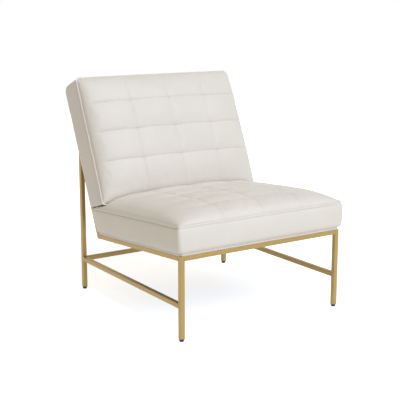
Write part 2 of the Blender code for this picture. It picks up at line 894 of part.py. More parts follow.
def build_seat_springs(steel, seat_plane):
    """Zigzag springs whose straight ends lie on the front and rear boards."""
    start = seat_inner_front + joint_gap + seat_board_thickness * spring_seat_share
    stop = board_row(seat_board_height, seat_board_thickness * spring_seat_share)
    step = (stop - start) / seat_spring_bends
    half_spread = seat_inner_half_width - seat_board_thickness - seat_spring_inset
    for index in range(seat_spring_count):
        column = half_spread * (2 * index / (seat_spring_count - 1) - 1)
        name = "seat_spring_%d" % (index + 1)
        curve = bpy.data.curves.new(name, "CURVE")
        curve.dimensions = "3D"
        curve.bevel_depth = seat_spring_wire / 2
        curve.bevel_resolution = 1
        curve.use_fill_caps = True
        points = [(0, start)]
        for bend in range(seat_spring_bends):
            side = 1 if bend % 2 else -1
            reach = seat_spring_width / 2
            if bend in (0, seat_spring_bends - 1):
                reach *= spring_end_bend_share
            for share in spring_bend_shares:
                points.append((side * reach, start + step * (bend + share)))
        points.append((0, stop))
        spline = curve.splines.new("POLY")
        spline.points.add(len(points) - 1)
        for point, (x, y) in zip(spline.points, points):
            point.co = (x, y, 0, 1)
        place(name, curve, steel, seat_plane, (column, 0, spring_level))


def build_dust_cover(cloth, seat_plane):
    half = inner_span / 2 - dust_cover_clearance
    front = tube_size * (1 + pitch_slope) + dust_cover_clearance
    levels = (-dust_cover_thickness, 0)
    rings = []
    for level in levels:
        rear = seat_rear_at(level) - dust_cover_clearance
        rings.append(level_rectangle(half, front, rear, level))
    mesh = prism_mesh("seat_dust_cover", *rings)
    place(mesh.name, mesh, cloth, seat_plane, (0, 0, 0))


# Back

def back_crown_height(x, y):
    """Height of the smooth back front above its seam."""
    across = edge_rise(back_seam_half_width - abs(x), back_seam_half_width, side_exponent)
    below = edge_rise(y - back_front_bottom, back_crown_run, end_exponent)
    above = edge_rise(back_top - y, back_crown_run, end_exponent)
    return back_crown * across * min(below, above)


def back_panel():
    columns_at = [index * back_column_pitch for index in (-1, 0, 1)]
    column_lines = [-back_seam_half_width, *columns_at, back_seam_half_width]
    row_count = int(back_length / back_row_pitch - least_cell_share)
    rows_at = [back_top - (row_count - index) * back_row_pitch for index in range(row_count)]
    row_lines = [back_front_bottom, *rows_at, back_top]
    columns = split_cells(
        column_lines, (edge_cell_shares, cell_shares, cell_shares, mirrored(edge_cell_shares))
    )
    row_shares = [
        long_cell_shares, *[cell_shares] * (row_count - 1), mirrored(edge_cell_shares),
    ]
    rows = split_cells(row_lines, row_shares)
    return Panel(
        back_seam_half_width, back_front_bottom, back_top, back_corner_radius,
        [-back_seam_half_width * 2, *columns_at, back_seam_half_width * 2],
        [back_front_bottom - back_row_pitch, *rows_at, back_top + back_row_pitch],
        columns, rows, back_crown_height,
    )


def build_back(leather, foam, wood, cloth, back_plane):
    panel = back_panel()
    inner_low = back_bottom + back_inner_end
    inner_high = back_top - back_inner_end
    rim_high = back_top_at(back_rear_face) - back_inner_end
    inner_box = (back_inner_half_width, inner_low, inner_high, 0, 0)
    arc_level = back_rear_face + back_top_rear_radius
    inner_rings = [
        (back_rear_face, back_inner_half_width, inner_low, rim_high, 0, 0),
        (arc_level, back_inner_half_width, inner_low, inner_high, 0, 0),
    ]
    mesh = cover_mesh("back_cover", panel, back_seam_level, back_rings(), inner_rings, inner_box)
    place(mesh.name, mesh, leather, back_plane, (0, 0, 0))
    welt_object("back_welt", panel, back_seam_level, leather, back_plane)

    half = back_inner_half_width - foam_clearance
    box = (half, inner_low + foam_clearance, inner_high - foam_clearance, 0, 0)
    mesh = foam_mesh("back_foam", panel, back_seam_level, back_foam_rear, box, box)
    place(mesh.name, mesh, foam, back_plane, (0, 0, 0))
    build_back_boards(wood, back_plane, inner_low, rim_high)
    build_back_webs(cloth, back_plane, inner_low, rim_high)
    build_rear_panel(leather, back_plane, inner_low, rim_high)


def build_back_boards(wood, back_plane, low, high):
    half = back_inner_half_width - joint_gap
    bottom = low + joint_gap
    top = high - joint_gap
    depth = (stile_rear, stile_front)
    for side, name in ((-1, "left"), (1, "right")):
        inner = half - stile_width
        x_range = sorted((side * half, side * inner))
        mesh = box_mesh("back_stile_" + name, x_range, (bottom, top), depth)
        stile = place(mesh.name, mesh, wood, back_plane, (0, 0, 0))
        for level in back_bolt_places:
            location = (side * leg_column, level, 0)
            stop = stile_rear + bolt_bite + cut_overrun
            drill(stile, back_plane, location, stile_rear - cut_overrun, stop)
    span = half - stile_width - joint_gap
    mesh = box_mesh("back_board_bottom", (-span, span), (bottom, bottom + back_board_height), depth)
    place(mesh.name, mesh, wood, back_plane, (0, 0, 0))
    mesh = box_mesh("back_board_top", (-span, span), (top - back_board_height, top), depth)
    place(mesh.name, mesh, wood, back_plane, (0, 0, 0))


def build_back_webs(cloth, back_plane, low, high):
    """Elastic straps from stile to stile, evenly spaced between the two boards."""
    reach = back_inner_half_width - joint_gap - stile_width * (1 - back_web_overlap_share)
    clear_low = low + joint_gap + back_board_height
    clear_high = high - joint_gap - back_board_height
    step = (clear_high - clear_low) / back_web_count
    for index in range(back_web_count):
        middle = clear_low + step * index + step / 2
        rows = (middle - back_web_width / 2, middle + back_web_width / 2)
        name = "back_web_%d" % (index + 1)
        mesh = box_mesh(name, (-reach, reach), rows, (web_rear, web_rear + back_web_thickness))
        place(name, mesh, cloth, back_plane, (0, 0, 0))


def build_rear_panel(leather, back_plane, low, high):
    half = back_inner_half_width - joint_gap
    mesh = box_mesh(
        "back_rear_panel", (-half, half), (low + joint_gap, high - joint_gap),
        (back_rear_face, rear_panel_front),
    )
    panel = place(mesh.name, mesh, leather, back_plane, (0, 0, 0))
    for side in (-1, 1):
        for level in back_bolt_places:
            location = (side * leg_column, level, 0)
            low_cut = back_rear_face - cut_overrun
            drill(panel, back_plane, location, low_cut, rear_panel_front + cut_overrun)


def build_chair():
    remove_old_objects()
    brass = make_material("brushed_brass", (0.58, 0.42, 0.19), 0.34, 1.0)
    leather = make_material("cream_leather", (0.72, 0.69, 0.62), 0.50, 0.0)
    foam = make_material("foam", (0.80, 0.72, 0.48), 0.95, 0.0)
    wood = make_material("frame_wood", (0.50, 0.33, 0.18), 0.70, 0.0)
    steel = make_material("zinc_steel", (0.55, 0.55, 0.54), 0.40, 1.0)
    cloth = make_material("black_cloth", (0.02, 0.02, 0.02), 0.90, 0.0)
    plastic = make_material("black_plastic", (0.02, 0.02, 0.02), 0.50, 0.0)

    seat_plane = make_empty("seat_plane", (0, front_face, rail_top_height), -seat_pitch)
    back_turn = math.radians(90) - back_recline
    back_plane = make_empty("back_plane", (0, corner_row, corner_height), back_turn)
    build_frame(brass, seat_plane, back_plane)
    build_feet(plastic)
    build_bolts(steel, seat_plane, back_plane)
    build_seat(leather, foam, wood, steel, cloth, seat_plane)
    build_back(leather, foam, wood, cloth, back_plane)


build_chair()
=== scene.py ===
"""Dresses the leather slipper chair: quilted upholstery, brushed brass, feet, stage and camera.

Metres, +Z up, the chair faces -Y. The file is laid out as a Blender add-on and is run as a script.
The seat's own axes are x across, y to the rear along the side rails and z square to them.
The back's own axes are x across, y up along the back bars and z forward out of the back.
"""
import math

import bmesh
import bpy
import numpy as np
from bpy.props import FloatProperty, FloatVectorProperty, PointerProperty
from bpy.types import Operator, Panel, PropertyGroup
from mathutils import Matrix, Vector


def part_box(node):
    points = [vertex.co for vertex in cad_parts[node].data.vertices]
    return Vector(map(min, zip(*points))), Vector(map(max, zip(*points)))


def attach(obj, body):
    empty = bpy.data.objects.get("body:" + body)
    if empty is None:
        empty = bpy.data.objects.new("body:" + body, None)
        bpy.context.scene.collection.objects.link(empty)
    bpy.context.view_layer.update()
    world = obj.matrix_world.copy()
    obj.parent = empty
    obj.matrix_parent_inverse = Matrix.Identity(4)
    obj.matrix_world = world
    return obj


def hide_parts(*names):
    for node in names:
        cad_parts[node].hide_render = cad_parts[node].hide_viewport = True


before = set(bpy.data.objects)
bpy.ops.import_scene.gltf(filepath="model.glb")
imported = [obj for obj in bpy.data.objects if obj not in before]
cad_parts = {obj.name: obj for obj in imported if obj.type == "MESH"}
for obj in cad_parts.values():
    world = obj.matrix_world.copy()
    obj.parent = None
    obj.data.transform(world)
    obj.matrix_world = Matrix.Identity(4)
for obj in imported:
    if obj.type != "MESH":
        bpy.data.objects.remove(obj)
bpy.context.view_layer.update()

bl_info = {
    "name": "Leather Slipper Chair",
    "version": (1, 0, 0),
    "blender": (4, 5, 0),
    "location": "View3D > Sidebar > Slipper Chair",
    "description": "Upholsters and finishes a quilted leather slipper chair on its metal frame",
    "category": "Add Mesh",
}

# The frame's own places and sizes, and how far a face's normal may turn to the side
body_name = "chair"
leg_low, leg_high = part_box("front_leg_left")
post_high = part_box("rear_post_left")[1]
tube_size = leg_high.x - leg_low.x
front_face = leg_low.y
rail_top = leg_high.z
foot_middle_row = (leg_low.y + post_high.y) / 2
leg_half_width = -leg_low.x
sideways = 0.5

# Clearance between pieces, and half the height of a plain welt
joint_gap = 0.0003
welt_radius = 0.0025

# How the crowns and channels are shaped, and how dark the painted shade along the sewn lines is,
# the same on both cushions
side_exponent = 2.8
end_exponent = 2.5
channel_power = 1.6
blend_power = 3
crossing_power = 2
lift_power = 2.5
pull_edge_power = 6
pull_corner_power = 4
station_step = 0.005
station_closeness = 0.93
stitch_half_width = 0.0016
crease_half_width = 0.0024
# Painted shade along the sewn rows and where the sewn lines cross
row_painted_shade = 0.30
crossing_painted_shade = 0.45
crossing_half_width = 0.006
column_stitch = 0.35
column_share = 0.7
least_row_share = 0.1
sag_width = 0.030
groove_depth = 0.0026
groove_lip = 0.0006
# The share of the painted shade under a seam that reaches one lip further down
below_share = 0.75
ear_run = 0.020
ear_levels = 0.035
welt_sides = 16
side_levels = 14
side_bulge_power = 0.35
side_ease_power = 0.3
rear_bulge_run = 0.060
rear_bulge_share = 0.36

# Sewn columns, counted in pitches from the middle, and the least share of a pitch left over
column_places = (-1, 0, 1)
least_cell_share = 0.4

# The tuck between seat and back, the hem, the rear panel, the dust cloth and the welts
tucked_run = 0.035
roll_power = 9
wall_reach = 0.08
wall_stations = 41
wall_steps = np.linspace(0, wall_reach, wall_stations) ** 2 / wall_reach
back_tucked_run = 0.050
hem_groove = 0.0010
# Painted shade in the hem's groove
hem_painted_shade = 0.45
hem_turn = 0.0030
rear_steps = 4
panel_gap = 0.0008
panel_recess = 0.0045
panel_roll = 0.0012
panel_corner = 0.006
corner_steps = 5
cloth_stations = 25
cloth_sag = 0.006
band_power = 3.2
band_rear_low = 0.005
band_rear_run = 0.035
piping_power = 2

# Painted light: how much lighter or darker each piece's leather colour is made, standing in for
# how the light falls on it
seat_painted_light = 1.015
band_painted_light = 1.045
back_painted_light = 0.975
piping_painted_light = 1.08

# Patterns of the leather and the brass: scales to the metre, weights, and the ranges used
pattern_range = (0.3, 0.7)
rough_below = 0.05
rough_above = 0.06
leather_cloud_scale = 9.0
leather_mottle_scale = 170.0
leather_mottle_weight = 0.35
leather_tone_range = (0.45, 0.95)
leather_fold_scale = 34.0
pores_to_a_grain = 2.2
leather_sheen = {"Specular IOR Level": 0.42, "Coat Weight": 0.06, "Coat Roughness": 0.35}
brass_cloud_scale = 14.0
brass_cloud_weight = 0.4
brush_weight = 0.6
brass_shades = (0.90, 1.06)
brush_roughness = 0.6

# The plain finishes: scales to the metre, roughness, dark and light tones, depths, pitches
zinc_scale = 420.0
zinc_dull_scale = 600.0
zinc_rough = (0.28, 0.42)
plastic_scale = 2200.0
plastic_rough = (0.42, 0.58)
wood_stretch = 14.0
wood_ring_scale = 70.0
wood_pore_scale = 900.0
wood_ring_roughness = 0.55
wood_rough = (0.58, 0.72)
weave_scale_share = 0.32
weave_wobble = 0.6
weave_rough = 0.85
zinc_tones = ((0.50, 0.50, 0.47, 1), (0.66, 0.66, 0.64, 1))
plastic_tones = ((0.012, 0.012, 0.012, 1), (0.028, 0.027, 0.026, 1))
wood_tones = ((0.52, 0.36, 0.20, 1), (0.72, 0.56, 0.36, 1))
webbing_tones = ((0.05, 0.045, 0.04, 1), (0.16, 0.14, 0.12, 1))
cloth_tones = ((0.006, 0.006, 0.006, 1), (0.03, 0.03, 0.03, 1))
plastic_depth = 0.00005
wood_depth = 0.0001
weave_depth = 0.0002
webbing_pitch = 0.0012
cloth_pitch = 0.0009

# Light and camera
white = (1.0, 1.0, 1.0, 1.0)
floor_shadow = (0.92, 0.95, 0.95, 1.0)
floor_glow = (0.682, 0.703, 0.748, 1.0)
floor_bounce = (0.80, 0.80, 0.80, 1.0)
floor_fill = 0.145
ambient_colour = (1.0, 0.823, 0.547)
key_colour = (0.746, 0.837, 1.0)
key_direction = (0.12, -0.68, 0.72)
key_distance = 3
camera_sensor = 36.0
camera_lens = 83.88
camera_from_feet = (-2.0311, -3.0109, 1.1735)
camera_down = 11.98
camera_round = 33.66
camera_turn = (math.radians(90 - camera_down), 0.0, math.radians(-camera_round))

# How the leather is inflated over its filling
sim_frames = 20
sim_step = 0.009
held_reach = sim_step / 4
sim_quality = 6
swell_limit = 0.010


# Cushion axes

def mesh_points(mesh):
    """The points of a mesh as a table of x, y and z."""
    points = np.zeros(len(mesh.vertices) * 3, np.float32)
    mesh.vertices.foreach_get("co", points)
    return points.reshape(-1, 3).astype(float)


def tube_direction(name):
    """Direction of a long straight tube, towards the rear, square to its largest face."""
    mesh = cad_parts[name].data
    faces = [face for face in mesh.polygons if abs(face.normal.x) < sideways]
    normal = max(faces, key=lambda face: face.area).normal
    direction = Vector((0, -normal.z, normal.y))
    return direction if direction.y > 0 else -direction


class Axes:
    """A cushion's own axes: x across the chair, y along a tube, z square out of the cushion."""

    def __init__(self, origin, along):
        across = Vector((1, 0, 0))
        self.along = Vector((0, along.y, along.z)).normalized()
        self.out = across.cross(self.along)
        turn = Matrix((across, self.along, self.out)).transposed()
        self.matrix = Matrix.Translation(origin) @ turn.to_4x4()
        self.turn = np.array(turn)
        self.origin = np.array(origin)

    def box(self, node):
        """Lowest and highest corner of a node in these axes."""
        local = (mesh_points(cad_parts[node].data) - self.origin) @ self.turn
        return local.min(0), local.max(0)


def seat_axes():
    return Axes(Vector((0, front_face, rail_top)), tube_direction("side_rail_left"))


def back_axes():
    """The origin is on the rear face of the back bars."""
    level = Axes(Vector((0, 0, 0)), tube_direction("back_bar_left"))
    low, high = level.box("back_bar_left")
    return Axes(level.out * low[2], level.along)


# Shapes shared by both cushions

def edge_rise(distance, run, exponent):
    """Share of the full crown at a distance in from an edge."""
    inward = np.clip(distance / run, 0, 1)
    return (1 - (1 - inward) ** exponent) ** (1 / exponent)


def smooth_step(share):
    held = np.clip(share, 0, 1)
    return held * held * (3 - 2 * held)


def gauss(distance, width):
    return np.exp(-(distance / width) ** 2)


def line_distance(values, lines):
    """Distance from each value to the nearest line."""
    return np.min(np.abs(values[:, None] - np.array(lines)[None, :]), axis=1)


def channel(values, lines):
    """1 on a sewn line, falling to 0 in the middle of a cell."""
    place = np.interp(values, lines, np.arange(len(lines)))
    across = place - np.floor(place)
    return (1 - np.sin(np.pi * across)) ** channel_power


def from_edge(share):
    """Eases stations so that they crowd together at a panel's steep edge."""
    return share ** 3 * (4 - 3 * share)


def spread(lines, step, closeness):
    """Stations along one way of a panel, closer together beside each line."""
    stations = [lines[0]]
    last = len(lines) - 2
    for cell, (low, high) in enumerate(zip(lines, lines[1:])):
        count = max(2, round((high - low) / step))
        for index in range(1, count + 1):
            share = index / count
            eased = share + ((1 - math.cos(math.pi * share)) / 2 - share) * closeness
            if cell == 0:
                eased = from_edge(share)
            elif cell == last:
                eased = 1 - from_edge(1 - share)
            stations.append(low + (high - low) * eased)
    return np.array(stations)


class Cushion:
    """A block of upholstery with a quilted face, in its own axes.

    high_stand is how far the corners at the high end stand out of its drawn-in edges, and the
    column shade how dark the painted shade along the sewn columns is.
    """

    high_stand = 1.0
    column_painted_shade = 0.12

    def __init__(self, name, axes, welt_node, sizes, radii):
        low, high = axes.box(welt_node)
        reach = (high[2] - low[2]) / 2 + welt_radius + joint_gap
        self.name = name
        self.axes = axes
        self.sizes = sizes
        self.radii = radii
        self.half_width = high[0] - reach
        self.low = low[1] + reach
        self.high = high[1] - reach
        self.level = (high[2] + low[2]) / 2
        self.column_lines = [index * sizes.column_pitch for index in column_places]
        self.row_lines = []

    def edge_lift(self, x, y):
        """How far the edge of the face stands over the welt's usual top."""
        return np.zeros_like(x)

    def ear(self, x, y):
        """1 at the two near corners of the outline, falling to 0 along its sides."""
        return gauss(self.half_width - np.abs(x) + y - self.low, ear_run)

    def row_share(self, x):
        """How much of a sewn row is left towards the sides."""
        return smooth_step((self.half_width - np.abs(x)) / self.sizes.row_fade)

    def outline(self, x, y, half_width, low, high, pull, flare=0.0, outset=0.0, radii=None):
        """Where panel stations lie on an outline, with rounded corners and drawn-in edges."""
        low_radius, high_radius = radii or self.radii
        across = x / self.half_width
        along = (y - self.low) / (self.high - self.low)
        up = 2 * along - 1
        at_low_end = up < 0
        radius = np.where(at_low_end, low_radius, high_radius) + outset
        placed_x = across * half_width
        placed_y = low + along * (high - low)
        near_x = np.clip(1 - (half_width - np.abs(placed_x)) / radius, 0, 1)
        near_y = np.clip(1 - np.minimum(placed_y - low, high - placed_y) / radius, 0, 1)
        most = np.maximum(near_x, near_y)
        least = np.minimum(near_x, near_y)
        angle = math.pi / 4 * least / np.where(most > 0, most, 1)
        big = radius * most * np.cos(angle)
        small = radius * most * np.sin(angle)
        by_side = near_x >= near_y
        turned_x = half_width - radius + np.where(by_side, big, small)
        turned_y = radius - np.where(by_side, small, big)
        corner = least > 0
        placed_x = np.where(corner, np.sign(placed_x) * turned_x, placed_x)
        turned_y = np.where(at_low_end, low + turned_y, high - turned_y)
        placed_y = np.where(corner, turned_y, placed_y)
        stand = np.where(at_low_end, 1.0, self.high_stand)
        clear_x = 1 - stand * up ** pull_corner_power
        clear_y = 1 - stand * across ** pull_corner_power
        hollow_x = pull * np.abs(across) ** pull_edge_power * clear_x
        hollow_y = pull * np.abs(up) ** pull_edge_power * clear_y
        flared = flare * self.ear(x, y)
        placed_x -= np.sign(across) * (hollow_x - flared)
        return placed_x, placed_y - np.sign(up) * hollow_y - flared

    def nearness(self, columns, rows):
        """How near each station is to a sewn line across and along, 1 on the line."""
        first_x, last_x = self.column_lines[0], self.column_lines[-1]
        first_y, last_y = self.row_lines[0], self.row_lines[-1]
        wide = [-2 * self.half_width - first_x, *self.column_lines, 2 * self.half_width - last_x]
        tall = [2 * self.low - first_y, *self.row_lines, 2 * self.high - last_y]
        return channel(columns, wide)[:, None], channel(rows, tall)[None, :]

    def face(self, columns, rows):
        """Points of the quilted face at a grid of stations."""
        sizes = self.sizes
        x, y = np.meshgrid(columns, rows, indexing="ij")
        placed_x, placed_y = self.outline(
            x, y, self.half_width, self.low, self.high, sizes.edge_pull, sizes.ear_flare
        )
        across, along = self.nearness(columns, rows)
        along = along * self.row_share(x)
        off_column = line_distance(columns, self.column_lines)[:, None]
        up = 2 * (y - self.low) / (self.high - self.low) - 1
        sag = sizes.row_sag * gauss(off_column, sag_width) * (1 - up ** pull_corner_power)
        across = across * column_share
        rise = self.crown(x, y)
        line = (across ** blend_power + along ** blend_power) ** (1 / blend_power)
        dimple = (across * along) ** crossing_power
        depth = sizes.channel_depth * line + sizes.crossing_depth * dimple
        room = rise * sizes.thickness / (rise + sizes.thickness)
        rise = rise - np.minimum(depth, room)
        rise = (rise ** lift_power + self.edge_lift(x, y) ** lift_power) ** (1 / lift_power)
        height = self.level + welt_radius + rise + sizes.ear_lift * self.ear(x, y)
        return np.stack((placed_x, placed_y - sag, height), axis=-1)

    def panel_lines(self):
        """The edges and sewn lines of the face, across and along."""
        wide = [-self.half_width, *self.column_lines, self.half_width]
        tall = [self.low, *self.row_lines, self.high]
        return wide, tall


# Inflating a quilted face

def grid_faces(count_x, count_y):
    """Four-sided faces of a grid whose point (i, j) has the number i * count_y + j."""
    i, j = np.meshgrid(np.arange(count_x - 1), np.arange(count_y - 1), indexing="ij")
    first = (i * count_y + j).ravel()
    return np.stack((first, first + count_y, first + count_y + 1, first + 1), axis=1)


def new_mesh(name, points, faces):
    mesh = bpy.data.meshes.new(name)
    faces = [tuple(int(point) for point in face) for face in faces]
    mesh.from_pydata([tuple(point) for point in points], [], faces)
    mesh.update()
    return mesh


def link_new(name, data):
    """A new object of the scene."""
    made = bpy.data.objects.new(name, data)
    bpy.context.scene.collection.objects.link(made)
    return made


def add_cloth(piece, group, sizes):
    cloth = piece.modifiers.new("filling pressure", "CLOTH")
    settings = cloth.settings
    settings.quality = sim_quality
    settings.mass = sizes.leather_mass
    settings.tension_stiffness = sizes.tension
    settings.compression_stiffness = sizes.tension
    settings.shear_stiffness = sizes.tension / 2
    settings.bending_stiffness = sizes.bending
    settings.air_damping = sizes.damping
    settings.vertex_group_mass = group
    settings.use_pressure = True
    settings.uniform_pressure_force = sizes.pressure
    settings.shrink_min = -sizes.slack
    settings.effector_weights.gravity = 0
    cloth.collision_settings.use_collision = False
    cloth.point_cache.frame_start = 1
    cloth.point_cache.frame_end = sim_frames


def held_points(cushion, x, y):
    """Where the simulated leather is held: on its edges and sewn lines, and where it's tucked."""
    wide, tall = cushion.panel_lines()
    on_column = line_distance(x[:, 0], wide) < held_reach
    on_row = line_distance(y[0], tall) < held_reach
    kept_row = cushion.row_share(x) > least_row_share
    held = on_column[:, None] | (on_row[None, :] & kept_row) | cushion.tucked(x, y)
    held[:, 0] = held[:, -1] = True
    return held


def inflate(cushion):
    """Simulates the leather between its sewn lines; returns stations and how far it moved."""
    wide, tall = cushion.panel_lines()
    columns = spread(wide, sim_step, 0)
    rows = spread(tall, sim_step, 0)
    start = cushion.face(columns, rows)
    count_x, count_y = len(columns), len(rows)
    mesh = new_mesh(cushion.name + "_sim", start.reshape(-1, 3), grid_faces(count_x, count_y))
    piece = link_new(mesh.name, mesh)
    x, y = np.meshgrid(columns, rows, indexing="ij")
    held = np.flatnonzero(held_points(cushion, x, y).ravel())
    group = piece.vertex_groups.new(name="sewn")
    group.add([int(point) for point in held], 1.0, "REPLACE")
    add_cloth(piece, group.name, cushion.sizes)
    scene = bpy.context.scene
    for number in range(1, sim_frames + 1):
        scene.frame_set(number)
    shaped = piece.evaluated_get(bpy.context.evaluated_depsgraph_get())
    moved = mesh_points(shaped.data).reshape(count_x, count_y, 3) - start
    bpy.data.objects.remove(piece, do_unlink=True)
    scene.frame_set(1)
    swell = np.linalg.norm(moved, axis=-1, keepdims=True)
    moved = moved * np.minimum(1, swell_limit / np.maximum(swell, joint_gap))
    span = round(cushion.sizes.row_pitch / sim_step)
    even = np.apply_along_axis(np.convolve, 1, moved, np.full(span, 1 / span), "same")
    return columns, rows, even + (moved - even) * cushion.row_share(x)[..., None]


def resample(values, stations, wanted, axis):
    """Smoothly read a table at new stations along one of its ways, by a cubic through four."""
    place = np.interp(wanted, stations, np.arange(len(stations)))
    base = np.clip(np.floor(place).astype(int), 0, len(stations) - 2)
    share = place - base
    picks = [np.clip(base + shift, 0, len(stations) - 1) for shift in (-1, 0, 1, 2)]
    weights = (
        (-share ** 3 + 2 * share ** 2 - share) / 2,
        (3 * share ** 3 - 5 * share ** 2 + 2) / 2,
        (-3 * share ** 3 + 4 * share ** 2 + share) / 2,
        (share ** 3 - share ** 2) / 2,
    )
    shape = [1] * values.ndim
    shape[axis] = len(wanted)
    return sum(
        np.take(values, pick, axis=axis) * weight.reshape(shape)
        for pick, weight in zip(picks, weights)
    )


def perimeter(count_x, count_y):
    """Grid steps once round the edge of the face, counter-clockwise."""
    steps = [(i, 0) for i in range(count_x - 1)]
    steps += [(count_x - 1, j) for j in range(count_y - 1)]
    steps += [(i, count_y - 1) for i in range(count_x - 1, 0, -1)]
    steps += [(0, j) for j in range(count_y - 1, 0, -1)]
    return np.array(steps)


class Upholstery:
    """Collects a cushion's quilted face and side rings into one closed mesh."""

    def __init__(self, cushion):
        wide, tall = cushion.panel_lines()
        self.cushion = cushion
        self.columns = spread(wide, station_step, station_closeness)
        self.rows = spread(tall, station_step, station_closeness)
        self.edge = perimeter(len(self.columns), len(self.rows))
        self.edge_x = self.columns[self.edge[:, 0]]
        self.edge_y = self.rows[self.edge[:, 1]]
        self.rings = []

    def stitched_face(self):
        """Points of the face, with the simulated swell and the sewn lines, and the painted shade
        along the sewn lines.
        """
        cushion = self.cushion
        sizes = cushion.sizes
        points = cushion.face(self.columns, self.rows)
        columns, rows, moved = inflate(cushion)
        moved = resample(moved, columns, self.columns, 0)
        points = points + resample(moved, rows, self.rows, 1)
        off_x = line_distance(self.columns, cushion.column_lines)[:, None]
        off_y = line_distance(self.rows, cushion.row_lines)[None, :]
        row_share = cushion.row_share(self.columns)[:, None]
        near = np.maximum(
            gauss(off_x, stitch_half_width) * column_stitch,
            gauss(off_y, stitch_half_width) * row_share,
        )
        edge_x = line_distance(self.columns, [-cushion.half_width, cushion.half_width])
        edge_y = line_distance(self.rows, [cushion.low, cushion.high])
        inside = np.minimum(edge_x[:, None], edge_y[None, :])
        points[..., 2] -= sizes.stitch_depth * near * (1 - gauss(inside, crease_half_width))
        # Painted shade along the sewn columns and rows, and more where they cross
        painted_shade = np.maximum(
            gauss(off_x, crease_half_width) * cushion.column_painted_shade,
            gauss(off_y, crease_half_width) * row_share * row_painted_shade,
        )
        crossing = gauss(off_x, crossing_half_width) * gauss(off_y, crossing_half_width)
        return points, np.maximum(painted_shade, crossing * row_share * crossing_painted_shade)

    def ring(self, level, half_width, low, high, pull, painted_shade=0.0, ear=0.0, radii=None):
        """One ring of the side, with painted shade on its points; ear is how much of the corners'
        lift and flare it takes.
        """
        cushion = self.cushion
        sizes = cushion.sizes
        x, y = cushion.outline(
            self.edge_x, self.edge_y, half_width, low, high, pull, sizes.ear_flare * ear,
            radii=radii,
        )
        height = level + sizes.ear_lift * ear * cushion.ear(self.edge_x, self.edge_y)
        self.rings.append((np.stack((x, y, height), axis=-1), painted_shade + np.zeros_like(x)))

    def welt_top(self):
        """Height of the face's edge, all the way round."""
        lift = self.cushion.edge_lift(self.edge_x, self.edge_y)
        return self.cushion.level + welt_radius + lift

    def groove(self, bottom):
        """The seam groove between the face's edge and a level, with painted shade in and under it.
        """
        cushion = self.cushion
        sizes = cushion.sizes
        top = self.welt_top()
        # Painted shade in and under the groove, weaker along the front seam, where the light falls
        # into the groove
        shade = np.where(self.edge_y > cushion.low + joint_gap, 1.0, sizes.front_shade)
        below = shade * sizes.below_seam_painted_shade
        for level, outset, painted_shade in (
            (top - groove_lip, -groove_depth, 0.0),
            (bottom + groove_lip, -groove_depth, shade),
            (bottom, groove_lip, below),
            (bottom - groove_lip, groove_lip, below * below_share),
        ):
            self.ring(
                level, cushion.half_width + outset, cushion.low - outset,
                cushion.high + outset, sizes.edge_pull, painted_shade, ear=1.0,
            )
        return bottom - groove_lip

    def welt_mesh(self, name, bottom, half_across, proud, power):
        """The closed cord or band that lies in the groove and stands a little proud of it."""
        cushion = self.cushion
        sizes = cushion.sizes
        reach = proud - half_across
        x, y = cushion.outline(
            self.edge_x, self.edge_y, cushion.half_width + reach, cushion.low - reach,
            cushion.high + reach, sizes.edge_pull, sizes.ear_flare, outset=reach,
        )
        high = self.welt_top() - joint_gap
        low = bottom + joint_gap
        lift = sizes.ear_lift * cushion.ear(self.edge_x, self.edge_y)
        path = np.stack((x, y, (low + high) / 2 + lift), axis=-1)
        section = superellipse(half_across, power, welt_sides)
        return sweep_mesh(name, path, section, (high - low) / 2)

    def mesh(self):
        """The cushion's closed mesh, with the painted shade of its creases and seams on its
        points.
        """
        face, face_painted_shade = self.stitched_face()
        count_x, count_y = len(self.columns), len(self.rows)
        points = [face.reshape(-1, 3)]
        painted_shades = [face_painted_shade.ravel()]
        faces = [list(face) for face in grid_faces(count_x, count_y)]
        count = len(self.edge)
        upper = self.edge[:, 0] * count_y + self.edge[:, 1]
        start = count_x * count_y
        for ring_points, ring_painted_shade in self.rings:
            lower = np.arange(start, start + count)
            faces += bridge(lower, upper)
            points.append(ring_points)
            painted_shades.append(ring_painted_shade)
            upper = lower
            start += count
        faces.append(list(upper[::-1]))
        mesh = new_mesh(self.cushion.name, np.concatenate(points), faces)
        # The painted shade is stored on the points, and the leather's colour darkens by it
        attribute = mesh.attributes.new("painted_shade", "FLOAT", "POINT")
        attribute.data.foreach_set("value", np.concatenate(painted_shades).astype(np.float32))
        mesh.shade_smooth()
        return mesh


def bridge(low, high):
    """Faces between two closed rings of point numbers."""
    after = np.roll(np.arange(len(low)), -1)
    return [
        [low[index], low[after[index]], high[after[index]], high[index]]
        for index in range(len(low))
    ]


def sweep_mesh(name, path, section, half_up):
    """A closed cord: a section swept round a closed path, with half its height at each point."""
    tangent = np.roll(path, -1, axis=0) - np.roll(path, 1, axis=0)
    tangent /= np.linalg.norm(tangent, axis=1, keepdims=True)
    outward = np.stack((tangent[:, 1], -tangent[:, 0], np.zeros(len(path))), axis=-1)
    points = []
    for across, up in section:
        ring = path + outward * across
        ring[:, 2] += up * half_up
        points.append(ring)
    count = len(path)
    faces = []
    numbers = [np.arange(count) + count * index for index in range(len(section))]
    for index, ring in enumerate(numbers):
        faces += bridge(ring, numbers[(index + 1) % len(numbers)])
    mesh = new_mesh(name, np.concatenate(points), faces)
    mesh.shade_smooth()
    return mesh


def superellipse(half_across, power, count):
    """Section of a welt, 2 high: round at power 2, flatter on its sides above that."""
    section = []
    for index in range(count):
        angle = 2 * math.pi * index / count
        cosine, sine = math.cos(angle), math.sin(angle)
        across = half_across * math.copysign(abs(cosine) ** (2 / power), cosine)
        section.append((across, math.copysign(abs(sine) ** (2 / power), sine)))
    return section


